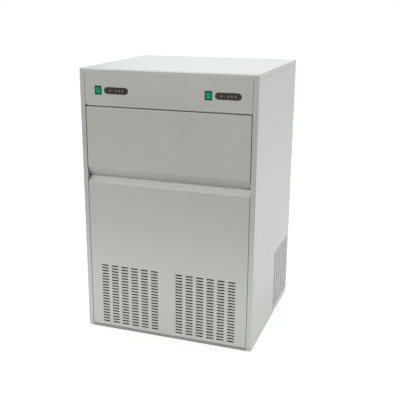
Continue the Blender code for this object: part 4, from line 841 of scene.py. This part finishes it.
def fanBlade(settings, turn, reach, deep, centre):
    shape = bmesh.new()
    root = settings["hub"] * settings["bladeRoot"]
    steep, shallow = settings["pitch"]
    narrow, wide = settings["chord"]
    rows = []
    for number in range(settings["alongSteps"] + 1):
        part = number / settings["alongSteps"]
        radius = root + (reach - root) * part
        pitch = math.radians(steep + (shallow - steep) * part)
        chord = narrow + (wide - narrow) * math.sin(part * settings["chordSwell"])
        row = []
        for step in range(settings["acrossSteps"] + 1):
            share = step / settings["acrossSteps"] - 0.5
            angle = turn + (share * chord * math.cos(pitch)) / radius - settings["sweep"] * part
            along = share * chord * math.sin(pitch) + settings["camber"] * (0.25 - share * share)
            along = max(-deep, min(deep, along))
            row.append(shape.verts.new((radius * math.cos(angle), along, radius * math.sin(angle))))
        rows.append(row)
    for first, second in zip(rows, rows[1:]):
        for step in range(settings["acrossSteps"]):
            shape.faces.new((first[step], first[step + 1], second[step + 1], second[step]))
    bmesh.ops.recalc_face_normals(shape, faces=shape.faces)
    bmesh.ops.solidify(shape, geom=shape.faces[:], thickness=settings["thickness"])
    shape.transform(Matrix.Translation(centre))
    return shape


def fanWheel(end, settings):
    node = f"fan_{end}"
    low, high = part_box(node)
    axis = jointPlace[f"fan_spin_{end}"]
    hub, hubLength = settings["hub"], settings["hubLength"]
    centre = Vector((axis.x, low.y + hubLength / 2, axis.z))
    reach = max(high.x - axis.x, axis.x - low.x, high.z - axis.z, axis.z - low.z)
    reach -= settings["tipGap"]
    edge = hub * settings["hubEdge"]
    profile = [(0.0, 0.0), (hub - edge, 0.0)]
    for step in range(1, settings["hubEdgeSteps"] + 1):
        turn = math.radians(90 * step / settings["hubEdgeSteps"])
        profile.append((hub - edge + edge * math.sin(turn), edge - edge * math.cos(turn)))
    shaft, shaftEnd = settings["shaft"], high.y - low.y
    profile += [(hub, hubLength), (shaft, hubLength), (shaft, shaftEnd), (0.0, shaftEnd)]
    along = Matrix.Translation((axis.x, low.y, axis.z)) @ Matrix.Rotation(-math.pi / 2, 4, "X")
    shapes = [turnedShape(profile, settings["steps"], along)]
    bladeDepth = hubLength * settings["bladeDepth"]
    for number in range(settings["blades"]):
        turn = math.tau * number / settings["blades"]
        shapes.append(fanBlade(settings, turn, reach, bladeDepth, centre))
    whole = together(shapes)
    addPiece(f"fan_wheel_{end}", whole, blackPlastic, node, [node], smooth=settings["smooth"])


for sideName in ends:
    fanWheel(sideName, fanSettings)
print("fans done")


# Door nose: a rounded strip on the door's top flange, about the hinge line, so that it clears
# the fascia as it turns.
noseSettings = {
    "clearance": 0.0007,
    "embed": 0.0005,
    "endGap": 0.0004,
    "rearTurn": math.radians(75),
    "steps": 14,
    "smooth": 30,
}


def doorNose(settings):
    low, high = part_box("door_skin")
    hinge = jointPlace["door_hinge"]
    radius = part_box("control_fascia")[0].z - hinge.z - settings["clearance"]
    foot = high.z - settings["embed"]
    frontTurn = math.pi - math.asin((foot - hinge.z) / radius)
    section = []
    for step in range(settings["steps"] + 1):
        turn = frontTurn + (settings["rearTurn"] - frontTurn) * step / settings["steps"]
        section.append((hinge.y + radius * math.cos(turn), hinge.z + radius * math.sin(turn)))
    section.append((section[-1][0], foot))
    strip = stripShape(section, low.x + settings["endGap"], high.x - settings["endGap"])
    addPiece("door_nose", strip, steel, "door_skin", smooth=settings["smooth"])


doorNose(noseSettings)
print("door nose done")


# Mouth trims: plastic strips that close the space between the bin's mouth and the stiles.
trimSettings = {
    "thickness": 0.003,
    "setBack": 0.0006,
    "gap": 0.0003,
    "radius": 0.0008,
    "segments": 3,
    "sheet": 0.0012,
    "smooth": 30,
}


def mouthTrim(end, side, settings):
    tubLow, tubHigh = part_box("bin_tub")
    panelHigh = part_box("lower_front_panel")[1]
    inner = tubHigh.x + settings["gap"]
    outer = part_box("right_side_panel")[1].x - settings["sheet"] - settings["gap"] * 2
    front = tubLow.y + settings["setBack"]
    across = sorted((side * inner, side * outer))
    deep = (front, front + settings["thickness"])
    strip = boxShape(across, deep, (panelHigh.z + settings["gap"], tubHigh.z))
    roundEdges(strip, settings, frontEdges(strip, front))
    addPiece(f"mouth_trim_{end}", strip, whitePlastic, "bin_tub", smooth=settings["smooth"])


for sideName, sideSign in zip(ends, (-1, 1)):
    mouthTrim(sideName, sideSign, trimSettings)
print("mouth trims done")


# Plinth strip: closes the space under the front panel, before the base pan. Its steel carries the
# painted plinth shade.
plinthSettings = {
    "setBack": 0.0018,
    "embed": 0.0002,
    "gap": 0.0016,
    "radius": 0.0008,
    "segments": 3,
    "smooth": 30,
}


def plinthStrip(settings):
    panLow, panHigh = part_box("base_pan")
    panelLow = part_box("lower_front_panel")[0]
    front = panelLow.y + settings["setBack"]
    deep = (front, panLow.y + settings["embed"])
    strip = boxShape((panLow.x, panHigh.x), deep, (panLow.z, panelLow.z - settings["gap"]))
    roundEdges(strip, settings, frontEdges(strip, front))
    addPiece("plinth_strip", strip, paintedShadeSteel, "base_pan", smooth=settings["smooth"])


plinthStrip(plinthSettings)
print("plinth strip done")


# Rear panel screws: pan heads with a cross, along the sides, inside the model's own box.
screwSettings = {
    "radius": 0.0042,
    "rise": 0.0016,
    "sunk": 0.0004,
    "headAngle": 80,
    "headSteps": 5,
    "steps": 24,
    "inset": 0.0135,
    "rows": 5,
    "crossLength": 0.0044,
    "crossWidth": 0.0009,
    "crossHeights": (0.6, 1.05),
    "firstTurn": 0.35,
    "turnPerRow": 0.6,
    "smooth": 50,
}


def rearScrews(settings):
    low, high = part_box("rear_panel")
    radius, rise, inset = settings["radius"], settings["rise"], settings["inset"]
    profile = [(0.0, -settings["sunk"]), (radius, -settings["sunk"])]
    for step in range(settings["headSteps"] + 1):
        turn = math.radians(settings["headAngle"] * step / settings["headSteps"])
        profile.append((radius * math.cos(turn), rise * math.sin(turn)))
    profile.append((0.0, rise))
    half, thin = settings["crossLength"] / 2, settings["crossWidth"] / 2
    crossHeights = [rise * share for share in settings["crossHeights"]]
    span = high.z - low.z - inset * 4
    facing = Matrix.Rotation(-math.pi / 2, 4, "X")
    heads = []
    crosses = []
    for row in range(settings["rows"]):
        height = low.z + inset * 2 + span * row / (settings["rows"] - 1)
        for across in (low.x + inset, high.x - inset):
            spot = Matrix.Translation((across, high.y, height)) @ facing
            heads.append(turnedShape(profile, settings["steps"], spot))
            for quarter in (0, math.pi / 2):
                turn = settings["firstTurn"] + quarter + row * settings["turnPerRow"]
                bar = boxShape((-half, half), (-thin, thin), crossHeights)
                bar.transform(spot @ Matrix.Rotation(turn, 4, "Z"))
                crosses.append(bar)
    addPiece("rear_screws", together(heads), zinc, "rear_panel", smooth=settings["smooth"])
    addPiece("rear_screw_crosses", together(crosses), blackPlastic, "rear_panel")


rearScrews(screwSettings)
print("rear screws done")


# Floor and surroundings.
stageSettings = {
    "floorHalf": 14.0,
    "floorDrop": 0.0003,
    "floorTone": (0.62, 0.62, 0.62),
    "seenGlow": 0.62,
    "mirrorGlow": 0.60,
    "whiteReach": 0.8,
    "fadeReach": 1.8,
    "steepReach": (0.12, 0.6),
    "steepLevel": 0.19,
    "sideFade": (0.5, 2.5),
    "sideLevel": 0.87,
    "sideTintReach": (0.3, 1.0),
    "coolTint": (0.93, 0.955, 1.0),
    "acrossReach": 0.8,
    "frontLevel": 0.30,
    "backLevel": 0.95,
    "overReach": (0.5, 0.95),
    "overLevel": 1.02,
}


def makeFloor(settings):
    shape = bmesh.new()
    bmesh.ops.create_grid(shape, x_segments=1, y_segments=1, size=settings["floorHalf"])
    bmesh.ops.translate(shape, verts=shape.verts, vec=(0, 0, -settings["floorDrop"]))
    mesh = bpy.data.meshes.new("floor")
    shape.to_mesh(mesh)
    shape.free()
    floor = bpy.data.objects.new("floor", mesh)
    bpy.context.scene.collection.objects.link(floor)
    material = bpy.data.materials.new("pale floor")
    material.use_nodes = True
    tree = material.node_tree
    tree.nodes.remove(tree.nodes["Principled BSDF"])
    paint = tree.nodes.new("ShaderNodeBsdfDiffuse")
    paint.inputs["Color"].default_value = (*settings["floorTone"], 1.0)
    glow = tree.nodes.new("ShaderNodeEmission")
    rays = tree.nodes.new("ShaderNodeLightPath")
    coords = tree.nodes.new("ShaderNodeTexCoord")
    place = tree.nodes.new("ShaderNodeSeparateXYZ")
    tree.links.new(coords.outputs["Object"], place.inputs[0])
    # In reflections the white floor ends some way in front of the machine, fades to the right,
    # and is dull where a slope looks straight down on it.
    reach = (-settings["fadeReach"], -settings["whiteReach"])
    near = rangeNode(tree, place.outputs["Y"], *reach, 0.0, 1.0)
    facing = tree.nodes.new("ShaderNodeLayerWeight").outputs["Facing"]
    level = rangeNode(tree, facing, *settings["steepReach"], settings["steepLevel"], 1.0)
    aside = rangeNode(tree, place.outputs["X"], *settings["sideFade"], 1.0, settings["sideLevel"])
    near = mathNode(tree, "MULTIPLY", mathNode(tree, "MULTIPLY", near, level), aside)
    glossy, through = rays.outputs["Is Glossy Ray"], rays.outputs["Is Transmission Ray"]
    mirrored = mathNode(tree, "MAXIMUM", glossy, through)
    seen = mathNode(tree, "MULTIPLY", rays.outputs["Is Camera Ray"], settings["seenGlow"])
    shown = mathNode(tree, "MULTIPLY", mirrored, near)
    mirror = mathNode(tree, "MULTIPLY", shown, settings["mirrorGlow"])
    tree.links.new(mathNode(tree, "MAXIMUM", seen, mirror), glow.inputs["Strength"])
    sideways = rangeNode(tree, place.outputs["X"], *settings["sideTintReach"], 0.0, 1.0)
    cool = tintNode(tree, mathNode(tree, "MULTIPLY", mirrored, sideways), settings["coolTint"])
    tree.links.new(cool, glow.inputs["Color"])
    both = tree.nodes.new("ShaderNodeAddShader")
    tree.links.new(paint.outputs[0], both.inputs[0])
    tree.links.new(glow.outputs[0], both.inputs[1])
    tree.links.new(both.outputs[0], tree.nodes["Material Output"].inputs["Surface"])
    mesh.materials.append(material)


def makeWorld(settings):
    world = bpy.data.worlds.new("studio")
    bpy.context.scene.world = world
    world.use_nodes = True
    tree = world.node_tree
    background = tree.nodes["Background"]
    coords = tree.nodes.new("ShaderNodeTexCoord")
    way = tree.nodes.new("ShaderNodeSeparateXYZ")
    rays = tree.nodes.new("ShaderNodeLightPath")
    tree.links.new(coords.outputs["Generated"], way.inputs[0])
    # Dimmer before the machine, brighter behind it and over it.
    reach = settings["acrossReach"]
    levels = (settings["frontLevel"], settings["backLevel"])
    across = rangeNode(tree, way.outputs["Y"], -reach, reach, *levels)
    over = rangeNode(tree, way.outputs["Z"], *settings["overReach"], 0.0, settings["overLevel"])
    around = mathNode(tree, "MAXIMUM", across, over)
    white = mathNode(tree, "MAXIMUM", rays.outputs["Is Camera Ray"], around)
    tree.links.new(white, background.inputs["Strength"])
    rearward = rangeNode(tree, way.outputs["Y"], 0.0, reach, 0.0, 1.0)
    unseen = mathNode(tree, "SUBTRACT", 1.0, rays.outputs["Is Camera Ray"])
    cool = tintNode(tree, mathNode(tree, "MULTIPLY", rearward, unseen), settings["coolTint"])
    tree.links.new(cool, background.inputs["Color"])


lampSettings = {
    "key": {"place": (2.4, 1.6, 3.2), "aim": (0.0, 0.0, 0.5), "size": (2.2, 2.2), "power": 8.0,
            "colour": (0.95, 0.97, 1.0)},
    "front": {"place": (-1.2, -3.4, 2.4), "aim": (0.0, 0.0, 0.5), "size": (2.6, 1.8), "power": 35.0,
              "colour": (1.0, 1.0, 1.0)},
    "over": {"place": (-0.6, 3.4, 2.6), "aim": (0.0, 0.0, 1.0), "size": (3.0, 1.6), "power": 13.0,
             "colour": (0.97, 0.985, 1.0)},
}


def makeLamp(name, settings):
    data = bpy.data.lights.new(name, "AREA")
    data.shape = "RECTANGLE"
    data.size, data.size_y = settings["size"]
    data.energy = settings["power"]
    data.color = settings["colour"]
    lamp = bpy.data.objects.new(name, data)
    lamp.location = settings["place"]
    way = Vector(settings["aim"]) - Vector(settings["place"])
    lamp.rotation_euler = way.to_track_quat("-Z", "Y").to_euler()
    bpy.context.scene.collection.objects.link(lamp)


makeFloor(stageSettings)
makeWorld(stageSettings)
for lampName, lampValues in lampSettings.items():
    makeLamp(lampName, lampValues)
bpy.context.scene.view_settings.view_transform = "Standard"
print("stage and lamps placed")
